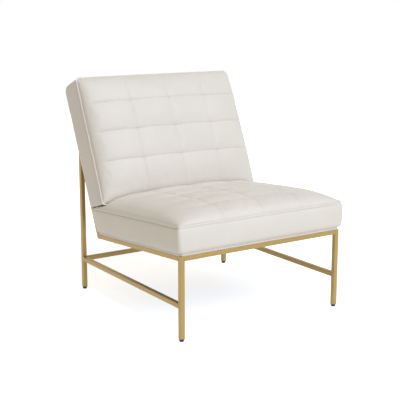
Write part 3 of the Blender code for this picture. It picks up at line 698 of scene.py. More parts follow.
def stand(mesh, axes, material, slot_name, *replaced):
    """Put a finished mesh on its cushion's axes, in place of nodes of the frame."""
    mesh.transform(axes.matrix)
    piece = link_new(mesh.name, mesh)
    mesh.materials.append(material)
    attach(piece, body_name)
    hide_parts(*replaced)
    return piece


def stand_leather(mesh, axes, part, painted_light, *replaced):
    """Stand a mesh up in cream leather, made a little lighter or darker than the chair's own as
    painted light for that piece.
    """
    settings = bpy.context.scene.slipper_leather
    leather = leather_finish("cream %s leather" % part, settings, painted_light)
    return stand(mesh, axes, leather, "cream_leather", *replaced)


# Seat and back cushions

class SeatCushion(Cushion):
    """The seat, whose top rises from its seams and runs down again under the back."""

    # Painted shade along the sewn columns, darker on the seat
    column_painted_shade = 0.24

    def __init__(self, sizes, back):
        radii = (sizes.corner_radius, sizes.rear_corner_radius)
        super().__init__("seat_cushion", seat_axes(), "seat_welt", sizes, radii)
        lean = self.axes.along.angle(back.axes.along)
        self.to_back = math.pi / 2 - lean
        self.lean_slope = math.tan(self.to_back)
        thickness = back.level - tube_size - joint_gap
        drop = back.sizes.front_drop
        under = thickness * math.cos(self.to_back) + drop * math.sin(self.to_back)
        rise = thickness * math.sin(self.to_back) - drop * math.cos(self.to_back)
        self.back = back
        self.under_back = under
        self.under_slope = rise / under
        row = sizes.first_row
        while row < self.high - sizes.row_pitch * least_cell_share:
            self.row_lines.append(row)
            row += sizes.row_pitch

    def crown(self, x, y):
        """Height of the top over its seams: crowned in front, and tucked down under the back."""
        sizes = self.sizes
        off_side = self.half_width - np.abs(x)
        across = edge_rise(off_side, self.half_width, side_exponent)
        front = edge_rise(y - self.low, sizes.crown_run, end_exponent)
        from_rear = np.maximum(self.high - y, 0)
        forward = smooth_step(from_rear / self.under_back)
        clear = sizes.tuck_clearance * forward + sizes.tuck_room
        clear -= sizes.tuck_fill * (1 - forward) * smooth_step(off_side / sizes.tuck_fill_run)
        tucked = np.minimum(from_rear, self.under_back) * self.under_slope - clear
        tucked = tucked * edge_rise(off_side, sizes.tuck_side_run, end_exponent)
        ahead = from_rear - self.under_back - sizes.tuck_gap
        rear = np.maximum(tucked + self.wall(x, ahead), joint_gap)
        top = np.maximum(across * front * sizes.crown, joint_gap)
        return (top ** -roll_power + rear ** -roll_power) ** (-1 / roll_power)

    def wall(self, x, ahead):
        """How high the back's front stands over its lower seam, this far ahead of the seam."""
        back = self.back
        off_side = back.half_width - np.abs(x[..., None])
        across = edge_rise(off_side, back.half_width, side_exponent)
        out = back.sizes.crown * across * edge_rise(wall_steps, back.sizes.crown_run, end_exponent)
        forward = out * math.cos(self.to_back) - wall_steps * math.sin(self.to_back)
        up = wall_steps * math.cos(self.to_back) + out * math.sin(self.to_back)
        forward = np.maximum.accumulate(forward, axis=-1)
        reached = (ahead[..., None] > forward).sum(-1)
        index = np.clip(reached - 1, 0, len(wall_steps) - 2)[..., None]
        near, far = (np.take_along_axis(forward, index + step, -1)[..., 0] for step in (0, 1))
        base, above = (np.take_along_axis(up, index + step, -1)[..., 0] for step in (0, 1))
        share = np.clip((ahead - near) / np.maximum(far - near, joint_gap), 0, 1)
        return base + (above - base) * share

    def edge_lift(self, x, y):
        """The seam band is full height at the front and sides and low under the back."""
        from_rear = self.high - y
        return self.sizes.band_rise * smooth_step((from_rear - band_rear_low) / band_rear_run)

    def tucked(self, x, y):
        """Where the leather lies under the back, and so doesn't swell."""
        return self.high - y < self.under_back + tucked_run

    def rear_at(self, level):
        """Where the seat's rear face stands at a level, along the leaning back bars."""
        welt_seat = 2 * (welt_radius + joint_gap)
        seam = self.high + welt_seat / math.cos(self.to_back)
        return seam + (level - self.level) * self.lean_slope


class BackCushion(Cushion):
    """The back, whose front swells from the seams all round it."""

    high_stand = 0.0

    def __init__(self, sizes):
        radii = (sizes.corner_radius, sizes.top_corner_radius)
        super().__init__("back_cushion", back_axes(), "back_welt", sizes, radii)
        self.rear = tube_size + joint_gap
        count = int((self.high - self.low) / sizes.row_pitch - least_cell_share)
        self.row_lines = [self.high - (count - index) * sizes.row_pitch for index in range(count)]

    def crown(self, x, y):
        """Height of the front over its seams."""
        sizes = self.sizes
        across = edge_rise(self.half_width - np.abs(x), self.half_width, side_exponent)
        below = edge_rise(y - self.low, sizes.crown_run, end_exponent)
        above = edge_rise(self.high - y, sizes.crown_run, end_exponent)
        return sizes.crown * across * np.minimum(below, above)

    def edge_lift(self, x, y):
        """The piping is a little thicker than a plain welt."""
        return np.full_like(x, self.sizes.piping_diameter / 2 - welt_radius)

    def tucked(self, x, y):
        """Where the leather is pressed against the seat, and so doesn't swell."""
        return y - self.low < back_tucked_run

    def top_at(self, level):
        """Top of the back at a level, rounded over to the rear."""
        radius = self.sizes.top_radius
        short = max(radius - (level - self.rear), 0)
        return self.high - radius + math.sqrt(radius ** 2 - short ** 2)


def bulge_at(share):
    """How much of its bulge a side shows, this share of the way up."""
    return math.sin(math.pi * share) ** side_bulge_power


def seat_sides(work, bottom):
    """Rings of the seat's side, from its seam groove down to the rails."""
    cushion, sizes = work.cushion, work.cushion.sizes
    start = work.groove(bottom)
    hem = sizes.hem_height
    frame_half = leg_half_width
    full = smooth_step((cushion.high - work.edge_y) / rear_bulge_run)
    bulge = sizes.side_bulge * (rear_bulge_share + (1 - rear_bulge_share) * full)
    for index in range(1, side_levels):
        share = 1 - index / side_levels
        swell = bulge_at(share)
        level = hem + (start - hem) * share
        ease = share ** side_ease_power
        half = frame_half + (cushion.half_width - frame_half) * ease + bulge * swell
        low = cushion.low * ease - sizes.front_bulge * swell
        ear = 1 - smooth_step((start - level) / ear_levels)
        pull = sizes.edge_pull * share
        work.ring(level, half, low, cushion.rear_at(level), pull, ear=ear)
    # The hem: a small groove with painted shade in it, then the turn under onto the rails
    for level, outset, painted_shade in (
        (hem + hem_groove, 0, 0.0),
        (hem, -hem_groove, hem_painted_shade),
        (hem - hem_groove, 0, 0.0),
        (joint_gap, 0, 0.0),
        (joint_gap, -hem_turn, 0.0),
        (joint_gap + hem_groove, -hem_turn, 0.0),
    ):
        work.ring(level, frame_half + outset, -outset, cushion.rear_at(level) + outset, 0, painted_shade)


def back_sides(work, bottom):
    """Rings of the back's side, from its seam groove to its rear edge."""
    cushion, sizes = work.cushion, work.cushion.sizes
    start = work.groove(bottom)
    rear = cushion.rear
    span = start - rear
    rear_half = leg_half_width + sizes.rear_overhang
    levels = [rear + span * (1 - index / side_levels) for index in range(1, side_levels)]
    levels = [level for level in levels if level > rear + sizes.rear_radius]
    for step in range(rear_steps + 1):
        angle = math.pi / 2 * step / rear_steps
        levels.append(rear + sizes.rear_radius * (1 - math.sin(angle)))
    for level in levels:
        share = (level - rear) / span
        swell = bulge_at(share)
        short = max(sizes.rear_radius - (level - rear), 0)
        turn = sizes.rear_radius - math.sqrt(sizes.rear_radius ** 2 - short ** 2)
        half = rear_half + (cushion.half_width - rear_half) * share
        half += sizes.side_bulge * swell - turn
        low = cushion.low + (sizes.front_drop + sizes.rear_lift) * (1 - share) + turn
        high = cushion.top_at(level) + sizes.end_bulge * swell * share
        work.ring(level, half, low, high, sizes.edge_pull * share)
    low, high = cushion.axes.box("back_rear_panel")
    gap = panel_gap
    radii = (panel_corner + gap, panel_corner + gap)
    # The recess round the rear panel, in full painted shade
    for level in (rear, rear + panel_recess):
        work.ring(level, high[0] + gap, low[1] - gap, high[1] + gap, 0, 1.0, radii=radii)


def panel_plate(name, low, high):
    """The outside back: a leather panel with rolled edges and rounded corners, in a box."""
    plate = bmesh.new()
    rings = []
    depth = high[2] - low[2]
    for inset, level in (
        (panel_roll, low[2]), (panel_roll / 3, low[2] + depth / 4),
        (0, low[2] + depth / 2), (0, high[2]),
    ):
        corners = rounded_rectangle(
            high[0] - inset, low[1] + inset, high[1] - inset, panel_corner
        )
        rings.append([plate.verts.new((x, y, level)) for x, y in corners])
    for upper, lower in zip(rings, rings[1:]):
        for index, vertex in enumerate(upper):
            after = (index + 1) % len(upper)
            plate.faces.new((vertex, upper[after], lower[after], lower[index]))
    plate.faces.new(rings[0][::-1])
    plate.faces.new(rings[-1])
    bmesh.ops.recalc_face_normals(plate, faces=plate.faces)
    mesh = bpy.data.meshes.new(name)
    plate.to_mesh(mesh)
    plate.free()
    mesh.shade_smooth()
    return mesh


def rounded_rectangle(half, low, high, radius):
    """Points round a rectangle with rounded corners, counter-clockwise."""
    points = []
    for corner, (side_x, side_y) in enumerate(((1, -1), (1, 1), (-1, 1), (-1, -1))):
        middle_x = side_x * (half - radius)
        middle_y = (high - radius) if side_y > 0 else (low + radius)
        for step in range(corner_steps + 1):
            angle = math.pi / 2 * (corner - 1 + step / corner_steps)
            points.append((
                middle_x + radius * math.cos(angle), middle_y + radius * math.sin(angle),
            ))
    return points


def sagging_cloth(name, low, high):
    """The cloth under the seat, drawn tight at its edges and sagging a little between them."""
    columns = np.linspace(-high[0], high[0], cloth_stations)
    rows = np.linspace(low[1], high[1], cloth_stations)
    x, y = np.meshgrid(columns, rows, indexing="ij")
    across = 1 - (x / high[0]) ** 2
    along = 1 - ((2 * y - low[1] - high[1]) / (high[1] - low[1])) ** 2
    level = high[2] - cloth_sag * across * along
    thickness = high[2] - low[2]
    sheets = [np.stack((x, y, level - shift), axis=-1) for shift in (0, thickness)]
    count = x.size
    upper = grid_faces(cloth_stations, cloth_stations)
    faces = [list(face) for face in upper] + [list(face[::-1] + count) for face in upper]
    edge = perimeter(cloth_stations, cloth_stations)
    top = edge[:, 0] * cloth_stations + edge[:, 1]
    faces += bridge(top + count, top)
    mesh = new_mesh(name, np.concatenate([sheet.reshape(-1, 3) for sheet in sheets]), faces)
    mesh.shade_smooth()
    return mesh


# Finishes

def feed(socket, value):
    """Link a socket to an output, or give it a value."""
    if isinstance(value, bpy.types.NodeSocket):
        socket.id_data.links.new(value, socket)
    else:
        socket.default_value = value


def new_node(tree, kind, inputs=None, **settings):
    """A node with its settings made first, and then its inputs fed."""
    made = tree.nodes.new(kind)
    for key, value in settings.items():
        setattr(made, key, value)
    for key, value in (inputs or {}).items():
        feed(made.inputs[key], value)
    return made


class Finish:
    """Builds one material from nodes, on coordinates in metres that stay with the piece."""

    def __init__(self, name):
        self.material = bpy.data.materials.new(name)
        self.material.use_nodes = True
        self.tree = self.material.node_tree
        self.shader = self.tree.nodes["Principled BSDF"]
        self.place = self.node("ShaderNodeTexCoord").outputs["Object"]

    def node(self, kind, inputs=None, **settings):
        return new_node(self.tree, kind, inputs, **settings)

    def finished(self, base, rough, others):
        """The material, once its shader's own sockets are fed."""
        for key, value in {"Base Color": base, "Roughness": rough, **others}.items():
            feed(self.shader.inputs[key], value)
        return self.material

    def noise(self, scale, detail=2.0, place=None, roughness=0.5):
        inputs = {
            "Vector": place or self.place, "Scale": scale, "Detail": detail,
            "Roughness": roughness,
        }
        return self.node("ShaderNodeTexNoise", inputs).outputs["Fac"]

    def cells(self, scale, feature="F1"):
        inputs = {"Vector": self.place, "Scale": scale}
        return self.node("ShaderNodeTexVoronoi", inputs, feature=feature).outputs["Distance"]

    def remap(self, pattern, low, high, taken=pattern_range):
        """Spread part of a pattern's range over two values."""
        inputs = {
            "Value": pattern, "From Min": taken[0], "From Max": taken[1], "To Min": low,
            "To Max": high,
        }
        return self.node("ShaderNodeMapRange", inputs).outputs["Result"]

    def rough_about(self, pattern, roughness):
        """A roughness that varies a little with a pattern."""
        return self.remap(pattern, roughness - rough_below, roughness + rough_above)

    def maths(self, operation, *values):
        inputs = dict(enumerate(values))
        return self.node("ShaderNodeMath", inputs, operation=operation).outputs["Value"]

    def mix(self, share, first, second):
        """Mix two colours; the node's colour sockets are 6, 7 and, going out, 2."""
        inputs = {0: share, 6: first, 7: second}
        return self.node("ShaderNodeMix", inputs, data_type="RGBA").outputs[2]

    def bump(self, height, distance, under=None):
        inputs = {"Height": height, "Distance": distance}
        if under is not None:
            inputs["Normal"] = under
        return self.node("ShaderNodeBump", inputs).outputs["Normal"]

    def vectors(self, operation, inputs, output="Vector"):
        """One step of vector maths."""
        made = self.node("ShaderNodeVectorMath", inputs, operation=operation)
        return made.outputs[output]

    def drawn_along(self, direction, stretch):
        """Coordinates in which a pattern runs out long in one direction."""
        way = tuple(part * (1 - 1 / stretch) for part in direction)
        along = self.vectors("DOT_PRODUCT", {0: self.place, 1: tuple(direction)}, "Value")
        scaled = self.vectors("SCALE", {0: way, "Scale": along})
        return self.vectors("SUBTRACT", {0: self.place, 1: scaled})


def shade_of(colour, factor):
    return tuple(part * factor for part in colour[:3]) + (1.0,)


def leather_finish(name, settings, painted_light):
    """Cream leather: fine grain, soft mottling and folds, painted shade in its creases and seams,
    and painted light that makes it lighter or darker for each piece.
    """
    finish = Finish(name)
    # Painted light: the leather's colour made lighter or darker for this piece
    cream = shade_of(settings.colour, painted_light)
    cloudy = finish.noise(leather_cloud_scale, detail=3.0)
    mottle = finish.noise(leather_mottle_scale)
    tone = finish.maths("MULTIPLY_ADD", mottle, leather_mottle_weight, cloudy)
    tone = finish.remap(tone, 0.0, 1.0, leather_tone_range)
    base = finish.mix(tone, shade_of(cream, 1 - settings.mottle), cream)
    # Painted shade: the colour is drawn towards the shade colour as far as the points' painted
    # shade goes
    painted_shade = finish.node("ShaderNodeAttribute", attribute_name="painted_shade").outputs["Fac"]
    dark = finish.maths("MULTIPLY", painted_shade, settings.painted_shade_strength)
    base = finish.mix(dark, base, tuple(settings.painted_shade_colour) + (1.0,))
    grain = finish.cells(1 / settings.grain_size, "SMOOTH_F1")
    pores = finish.noise(pores_to_a_grain / settings.grain_size, detail=1.0)
    folds = finish.bump(finish.noise(leather_fold_scale, detail=3.0), settings.fold_depth)
    skin = finish.bump(grain, settings.grain_depth, under=folds)
    skin = finish.bump(pores, settings.grain_depth / 2, under=skin)
    rough = finish.rough_about(pores, settings.roughness)
    return finish.finished(base, rough, {"Normal": skin, **leather_sheen})


def brass_finish(name, settings, direction):
    """Brushed brass of a satin kind, its brush marks running along the tube."""
    finish = Finish(name)
    along = finish.drawn_along(direction, settings.brush_stretch)
    brush = finish.noise(1 / settings.brush_width, 3.0, along, brush_roughness)
    cloudy = finish.maths("MULTIPLY", finish.noise(brass_cloud_scale), brass_cloud_weight)
    tone = finish.remap(finish.maths("MULTIPLY_ADD", brush, brush_weight, cloudy), 0.0, 1.0)
    base = finish.mix(tone, *(shade_of(settings.colour, shade) for shade in brass_shades))
    marks = finish.bump(brush, settings.brush_depth)
    rough = finish.rough_about(brush, settings.roughness)
    return finish.finished(base, rough, {"Metallic": settings.metallic, "Normal": marks})


def zinc_finish():
    finish = Finish("zinc plate")
    flakes = finish.mix(finish.cells(zinc_scale), *zinc_tones)
    rough = finish.remap(finish.noise(zinc_dull_scale), *zinc_rough)
    return finish.finished(flakes, rough, {"Metallic": 1.0})


def plastic_finish():
    finish = Finish("moulded black plastic")
    speckle = finish.noise(plastic_scale)
    base = finish.mix(speckle, *plastic_tones)
    rough = finish.remap(speckle, *plastic_rough)
    return finish.finished(base, rough, {"Normal": finish.bump(speckle, plastic_depth)})


def wood_finish():
    finish = Finish("sawn softwood")
    along = finish.drawn_along((1.0, 0.0, 0.0), wood_stretch)
    rings = finish.noise(wood_ring_scale, 4.0, along, wood_ring_roughness)
    pores = finish.noise(wood_pore_scale, place=along)
    base = finish.mix(rings, *wood_tones)
    rough = finish.remap(pores, *wood_rough)
    return finish.finished(base, rough, {"Normal": finish.bump(pores, wood_depth)})


def weave_finish(name, tones, pitch):
    """Plain woven cloth: two crossed sets of threads."""
    finish = Finish(name)
    scale = weave_scale_share / pitch
    inputs = {"Vector": finish.place, "Scale": scale, "Distortion": weave_wobble, "Detail": 1.0}
    warp, weft = (
        finish.node("ShaderNodeTexWave", inputs, bands_direction=direction).outputs["Fac"]
        for direction in ("X", "Y")
    )
    cloth = finish.maths("MULTIPLY", warp, weft)
    woven = {"Normal": finish.bump(cloth, weave_depth)}
    return finish.finished(finish.mix(cloth, *tones), weave_rough, woven)


def coat(nodes, material):
    """Give nodes of the frame a material in place of their plain one."""
    for name in nodes:
        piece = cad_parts[name]
        for material_slot in piece.material_slots:
            material_slot.material = material


def frame_nodes(*starts):
    found = [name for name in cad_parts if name.startswith(starts)]
    if not found:
        raise RuntimeError("the frame has no node that starts with " + " or ".join(starts))
    return found


# Sizes and colours that a user would change

def length(name, description, default):
    return FloatProperty(
        name=name, description=description, default=default, min=0.0, unit="LENGTH",
        precision=4,
    )


def factor(name, description, default, highest=1.0):
    return FloatProperty(
        name=name, description=description, default=default, min=0.0, max=highest,
        subtype="FACTOR" if highest == 1.0 else "NONE",
    )


def colour(name, description, default):
    return FloatVectorProperty(
        name=name, description=description, default=default, subtype="COLOR", size=3,
        min=0.0, max=1.0,
    )


class FrameFinish(PropertyGroup):
    colour: colour("Brass", "Colour of the brushed brass", (0.434, 0.295, 0.103))
    roughness: factor("Roughness", "How blurred the brass reflects", 0.42)
    metallic: factor("Metallic", "How far the brass shades as bare metal", 0.6)
    brush_width: length("Brush width", "Width of a brush mark", 0.0009)
    brush_stretch: factor("Brush stretch", "Length of a mark over its width", 60.0, 400.0)
    brush_depth: length("Brush depth", "Depth of the brush marks", 0.00003)


class LeatherFinish(PropertyGroup):
    colour: colour("Leather", "Colour of the cream leather", (0.79, 0.752, 0.683))
    # Colour and strength of the painted shade in the creases, seams and grooves
    painted_shade_colour: colour("Crease", "Colour in the creases", (0.42, 0.36, 0.28))
    painted_shade_strength: factor("Crease darkness", "How far the creases darken", 0.50)
    mottle: factor("Mottling", "How much darker the dull patches are", 0.045)
    roughness: factor("Roughness", "How dull the leather is", 0.48)
    grain_size: length("Grain size", "Width of one cell of the grain", 0.0013)
    grain_depth: length("Grain depth", "Depth of the grain", 0.00012)
    fold_depth: length("Fold depth", "Depth of the soft folds", 0.0006)


class QuiltSizes:
    column_pitch: length("Column pitch", "Distance between sewn columns", 0.178)
    channel_depth: length("Channel depth", "Depth of a sewn line", 0.0030)
    crossing_depth: length("Crossing depth", "More depth where lines cross", 0.0070)
    stitch_depth: length("Stitch depth", "Depth of the fold at a sewn line", 0.0008)
    thickness: length("Quilt thickness", "Thickness of the quilted layer", 0.0105)
    edge_pull: length("Edge pull", "How far the edges draw in", 0.0030)
    crown_run: length("Crown run", "Distance in which the crown rises", 0.230)
    pressure: factor("Pressure", "Pressure of the filling on the leather", 4.0, 20.0)
    leather_mass: factor("Leather mass", "Weight of the leather in the simulation", 0.3, 5.0)
    tension: factor("Tension", "How hard the leather is to stretch", 15.0, 200.0)
    bending: factor("Bending", "How hard the leather is to bend", 0.5, 50.0)
    damping: factor("Damping", "How soon the leather comes to rest", 2.0, 10.0)
    slack: factor("Slack", "Spare leather between the sewn lines", 0.006)


class SeatSizes(QuiltSizes, PropertyGroup):
    corner_radius: length("Corner radius", "Radius of the front corners", 0.013)
    rear_corner_radius: length("Rear corner radius", "Radius of the rear corners", 0.006)
    row_sag: length("Row sag", "How far the rows dip where the columns cross them", 0.0)
    ear_lift: length("Ear lift", "How far the front corners of the seam stand up", 0.0035)
    ear_flare: length("Ear flare", "How far the front corners of the seam stand out", 0.0025)
    crown: length("Crown", "Height of the filling over the seam", 0.067)
    row_fade: length("Row fade", "Distance in which a sewn row fades at the sides", 0.185)
    # Painted shade under the seam, and how much of it the front seam keeps
    below_seam_painted_shade: factor("Seam shade", "How dark the line under the seam is", 1.0)
    front_shade: factor("Front shade", "How much of that shade the front seam has", 0.1)
    row_pitch: length("Row pitch", "Distance between sewn rows", 0.1155)
    first_row: length("First row", "Distance of the first row from the front", 0.0842)
    tuck_gap: length("Tuck gap", "Room between the top and the front of the back", 0.0030)
    tuck_room: length("Tuck room", "Room all along the underside of the back", 0.0020)
    tuck_clearance: length("Tuck clearance", "More room under the back's piping", 0.0030)
    tuck_fill: length("Tuck fill", "How much less room there is at the rear", 0.0040)
    tuck_fill_run: length("Tuck fill run", "Distance from the side over which room shrinks", 0.020)
    tuck_side_run: length("Tuck side run", "Run of the tucked top down to its sides", 0.010)
    side_bulge: length("Side bulge", "How far the sides stand out", 0.0082)
    front_bulge: length("Front bulge", "How far the front stands out", 0.0077)
    hem_height: length("Hem height", "Height of the hem seam over the rails", 0.0075)
    band_rise: length("Band rise", "How far the seam band stands over a plain welt", 0.0050)
    band_drop: length("Band drop", "How far the seam band hangs below the seam", 0.0015)
    band_thickness: length("Band thickness", "Thickness of the seam band", 0.0036)
    band_proud: length("Band proud", "How far the seam band stands out", 0.0018)


class BackSizes(QuiltSizes, PropertyGroup):
    row_pitch: length("Row pitch", "Distance between sewn rows", 0.1215)
    corner_radius: length("Corner radius", "Radius of the lower corners", 0.010)
    row_sag: length("Row sag", "How far the rows dip where the columns cross them", 0.0025)
    top_corner_radius: length("Top corner radius", "Radius of the upper corners", 0.016)
    ear_lift: length("Ear lift", "How far the lower corners of the seam stand up", 0.0)
    ear_flare: length("Ear flare", "How far the lower corners of the seam stand out", 0.0)
    crown: length("Crown", "Height of the filling over the seam", 0.072)
    row_fade: length("Row fade", "Distance in which a sewn row fades at the sides", 0.035)
    # Painted shade under the seam, and how much of it the lower seam keeps
    below_seam_painted_shade: factor("Seam shade", "How dark the line under the seam is", 0.8)
    front_shade: factor("Front shade", "How much of that shade the lower seam has", 1.0)
    front_drop: length("Front drop", "How far the front hangs below the rear", 0.0105)
    rear_lift: length("Rear lift", "How far the rear's lower edge draws up", 0.0010)
    rear_overhang: length("Rear overhang", "How far the rear edge is past the bars", 0.0090)
    rear_radius: length("Rear radius", "Radius of the rear edge", 0.003)
    top_radius: length("Top radius", "Radius of the top's rear edge", 0.022)
    side_bulge: length("Side bulge", "How far the sides stand out", 0.0039)
    end_bulge: length("End bulge", "How far the top stands out", 0.0040)
    piping_diameter: length("Piping diameter", "Diameter of the piping", 0.008)
    piping_proud: length("Piping proud", "How far the piping stands out", 0.0052)


class StageSizes(PropertyGroup):
    floor_size: length("Floor size", "Side of the square floor", 12.0)
    ambient: factor("Ambient", "Strength of the light from all round", 0.377, 10.0)
    key: factor("Key", "Strength of the key light", 2.40, 10.0)
    key_angle: FloatProperty(
        name="Key angle", description="Angle that the key light fills",
        default=math.radians(52), subtype="ANGLE",
    )


# Operators

class ChairOperator:
    bl_options = {"REGISTER", "UNDO"}


class BrassFrame(ChairOperator, Operator):
    """Finish the tubes of the frame in brushed brass"""

    bl_idname = "slipper_chair.brass_frame"
    bl_label = "Brass Frame"

    def execute(self, context):
        settings = context.scene.slipper_frame
        rails = ("front_rail", "rear_rail", "rear_stretcher", "back_cross_bar")
        for name, direction, starts in (
            ("brass across", Vector((1, 0, 0)), rails),
            ("brass upright", Vector((0, 0, 1)), ("front_leg", "rear_post")),
            ("brass level", Vector((0, 1, 0)), ("side_stretcher",)),
            ("brass side rail", tube_direction("side_rail_left"), ("side_rail",)),
            ("brass back bar", tube_direction("back_bar_left"), ("back_bar",)),
        ):
            coat(frame_nodes(*starts), brass_finish(name, settings, direction))
        return {"FINISHED"}


class FeetAndFasteners(ChairOperator, Operator):
    """Finish the plugs, glides, bolts and springs"""

    bl_idname = "slipper_chair.feet_and_fasteners"
    bl_label = "Feet and Fasteners"

    def execute(self, context):
        coat(frame_nodes("leg_plug", "foot_glide"), plastic_finish())
        coat(frame_nodes("seat_bolt", "back_bolt", "seat_spring"), zinc_finish())
        return {"FINISHED"}


class InnerFrame(ChairOperator, Operator):
    """Finish the wooden boards and the webbing inside the cushions"""

    bl_idname = "slipper_chair.inner_frame"
    bl_label = "Inner Frame"

    def execute(self, context):
        coat(frame_nodes("seat_board", "back_board", "back_stile"), wood_finish())
        coat(frame_nodes("back_web"), weave_finish("woven webbing", webbing_tones, webbing_pitch))
        return {"FINISHED"}


class DustCover(ChairOperator, Operator):
    """Hang the black cloth under the seat"""

    bl_idname = "slipper_chair.dust_cover"
    bl_label = "Dust Cover"

    def execute(self, context):
        axes = seat_axes()
        low, high = axes.box("seat_dust_cover")
        mesh = sagging_cloth("dust_cloth", low, high)
        cloth = weave_finish("black dust cloth", cloth_tones, cloth_pitch)
        piece = stand(mesh, axes, cloth, "black_cloth", "seat_dust_cover")
        return {"FINISHED"}


class SeatUpholstery(ChairOperator, Operator):
    """Upholster the seat: its quilted cushion and the band along its seam"""

    bl_idname = "slipper_chair.seat_upholstery"
    bl_label = "Seat Upholstery"

    def execute(self, context):
        sizes = context.scene.slipper_seat
        cushion = SeatCushion(sizes, BackCushion(context.scene.slipper_back))
        axes = cushion.axes
        work = Upholstery(cushion)
        bottom = cushion.level - sizes.band_drop
        seat_sides(work, bottom)
        piece = stand_leather(work.mesh(), axes, "seat", seat_painted_light, "seat_cover", "seat_foam")
        half = sizes.band_thickness / 2
        mesh = work.welt_mesh("seat_band", bottom, half, sizes.band_proud, band_power)
        stand_leather(mesh, axes, "band", band_painted_light, "seat_welt")
        return {"FINISHED"}


class BackUpholstery(ChairOperator, Operator):
    """Upholster the back: its quilted cushion and the piping along its seam"""

    bl_idname = "slipper_chair.back_upholstery"
    bl_label = "Back Upholstery"

    def execute(self, context):
        sizes = context.scene.slipper_back
        cushion = BackCushion(sizes)
        axes = cushion.axes
        work = Upholstery(cushion)
        bottom = cushion.level - sizes.piping_diameter / 2
        back_sides(work, bottom)
        piece = stand_leather(work.mesh(), axes, "back", back_painted_light, "back_cover", "back_foam")
        half = sizes.piping_diameter / 2 - joint_gap
        mesh = work.welt_mesh("back_piping", bottom, half, sizes.piping_proud, piping_power)
        stand_leather(mesh, axes, "piping", piping_painted_light, "back_welt")
        return {"FINISHED"}


class OutsideBack(ChairOperator, Operator):
    """Close the rear of the back with its plain leather panel"""

    bl_idname = "slipper_chair.outside_back"
    bl_label = "Outside Back"

    def execute(self, context):
        axes = back_axes()
        low, high = axes.box("back_rear_panel")
        mesh = panel_plate("outside_back", low, high)
        piece = stand_leather(mesh, axes, "outside", back_painted_light, "back_rear_panel")
        return {"FINISHED"}


class Stage(ChairOperator, Operator):
    """Set the floor, the light and the camera"""

    bl_idname = "slipper_chair.stage"
    bl_label = "Stage"

    def execute(self, context):
        scene = context.scene
        settings = scene.slipper_stage
        build_floor(settings)
        build_world(scene, settings)
        build_key(settings)
        build_camera(scene)
        scene.view_settings.view_transform = "Standard"
        return {"FINISHED"}


# Stage

def seen_directly(tree):
    """1 for rays from the camera and in reflections, 0 for light that bounces."""
    path = new_node(tree, "ShaderNodeLightPath")
    seen = path.outputs["Is Camera Ray"]
    for ray in ("Is Glossy Ray", "Is Transmission Ray"):
        inputs = {0: seen, 1: path.outputs[ray]}
        seen = new_node(tree, "ShaderNodeMath", inputs, operation="MAXIMUM").outputs[0]
    return seen


def show_apart(tree, output, bounced, shown):
    """Give the camera and reflections one shader, and the light that bounces another."""
    inputs = {0: seen_directly(tree), 1: bounced, 2: shown}
    choice = new_node(tree, "ShaderNodeMixShader", inputs)
    feed(output.inputs["Surface"], choice.outputs[0])


def build_world(scene, settings):
    world = bpy.data.worlds.new("white studio")
    scene.world = world
    world.use_nodes = True
    tree = world.node_tree
    ambient = tree.nodes["Background"]
    feed(ambient.inputs["Color"], (*ambient_colour, 1.0))
    feed(ambient.inputs["Strength"], settings.ambient)
    backdrop = new_node(tree, "ShaderNodeBackground", {"Color": white, "Strength": 1.0})
    show_apart(tree, tree.nodes["World Output"], ambient.outputs[0], backdrop.outputs[0])


def glowing_diffuse(tree, surface_colour, glow_colour, strength):
    """A plain diffuse surface that also gives some light of its own."""
    diffuse = new_node(tree, "ShaderNodeBsdfDiffuse", {"Color": surface_colour})
    glow = new_node(tree, "ShaderNodeEmission", {"Color": glow_colour, "Strength": strength})
    both = {0: diffuse.outputs[0], 1: glow.outputs[0]}
    return new_node(tree, "ShaderNodeAddShader", both).outputs[0]


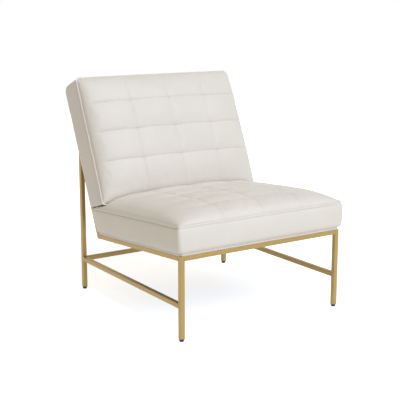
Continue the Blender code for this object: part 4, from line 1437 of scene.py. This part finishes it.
def build_floor(settings):
    half = settings.floor_size / 2
    corners = [(-half, -half, 0), (half, -half, 0), (half, half, 0), (-half, half, 0)]
    floor = link_new("studio_floor", new_mesh("studio_floor", corners, [(0, 1, 2, 3)]))
    floor.location.z = -joint_gap
    material = bpy.data.materials.new("pale floor")
    material.use_nodes = True
    tree = material.node_tree
    tree.nodes.remove(tree.nodes["Principled BSDF"])
    bounced = glowing_diffuse(tree, floor_bounce, white, floor_fill)
    shown = glowing_diffuse(tree, floor_shadow, floor_glow, 1.0)
    show_apart(tree, tree.nodes["Material Output"], bounced, shown)
    floor.data.materials.append(material)


def build_key(settings):
    key = bpy.data.lights.new("key light", "SUN")
    key.energy = settings.key
    key.color = key_colour
    key.angle = settings.key_angle
    lamp = link_new("key_light", key)
    towards = Vector(key_direction).normalized()
    lamp.rotation_euler = towards.to_track_quat("Z", "Y").to_euler()
    lamp.location = towards * key_distance


def build_camera(scene):
    lens = bpy.data.cameras.new("photo view")
    lens.sensor_width = camera_sensor
    lens.lens = camera_lens
    camera = link_new("photo_view", lens)
    camera.location = Vector((0, foot_middle_row, 0)) + Vector(camera_from_feet)
    camera.rotation_euler = camera_turn
    scene.camera = camera


class ChairPanel(Panel):
    """Lists the steps that dress the chair"""

    bl_idname = "VIEW3D_PT_slipper_chair"
    bl_label = "Slipper Chair"
    bl_space_type = "VIEW_3D"
    bl_region_type = "UI"
    bl_category = "Slipper Chair"

    def draw(self, context):
        for step in steps:
            self.layout.operator(step.bl_idname)


steps = (
    BrassFrame, FeetAndFasteners, InnerFrame, DustCover, SeatUpholstery, BackUpholstery,
    OutsideBack, Stage,
)
groups = {
    "slipper_frame": FrameFinish,
    "slipper_leather": LeatherFinish,
    "slipper_seat": SeatSizes,
    "slipper_back": BackSizes,
    "slipper_stage": StageSizes,
}


def register():
    for name, group in groups.items():
        bpy.utils.register_class(group)
        setattr(bpy.types.Scene, name, PointerProperty(type=group))
    for step in steps:
        bpy.utils.register_class(step)
    bpy.utils.register_class(ChairPanel)


def unregister():
    bpy.utils.unregister_class(ChairPanel)
    for step in reversed(steps):
        bpy.utils.unregister_class(step)
    for name, group in groups.items():
        delattr(bpy.types.Scene, name)
        bpy.utils.unregister_class(group)


def main():
    register()
    chair = bpy.ops.slipper_chair
    chair.brass_frame()
    chair.feet_and_fasteners()
    chair.inner_frame()
    chair.dust_cover()
    chair.seat_upholstery()
    chair.back_upholstery()
    chair.outside_back()
    chair.stage()


if __name__ == "__main__":
    main()
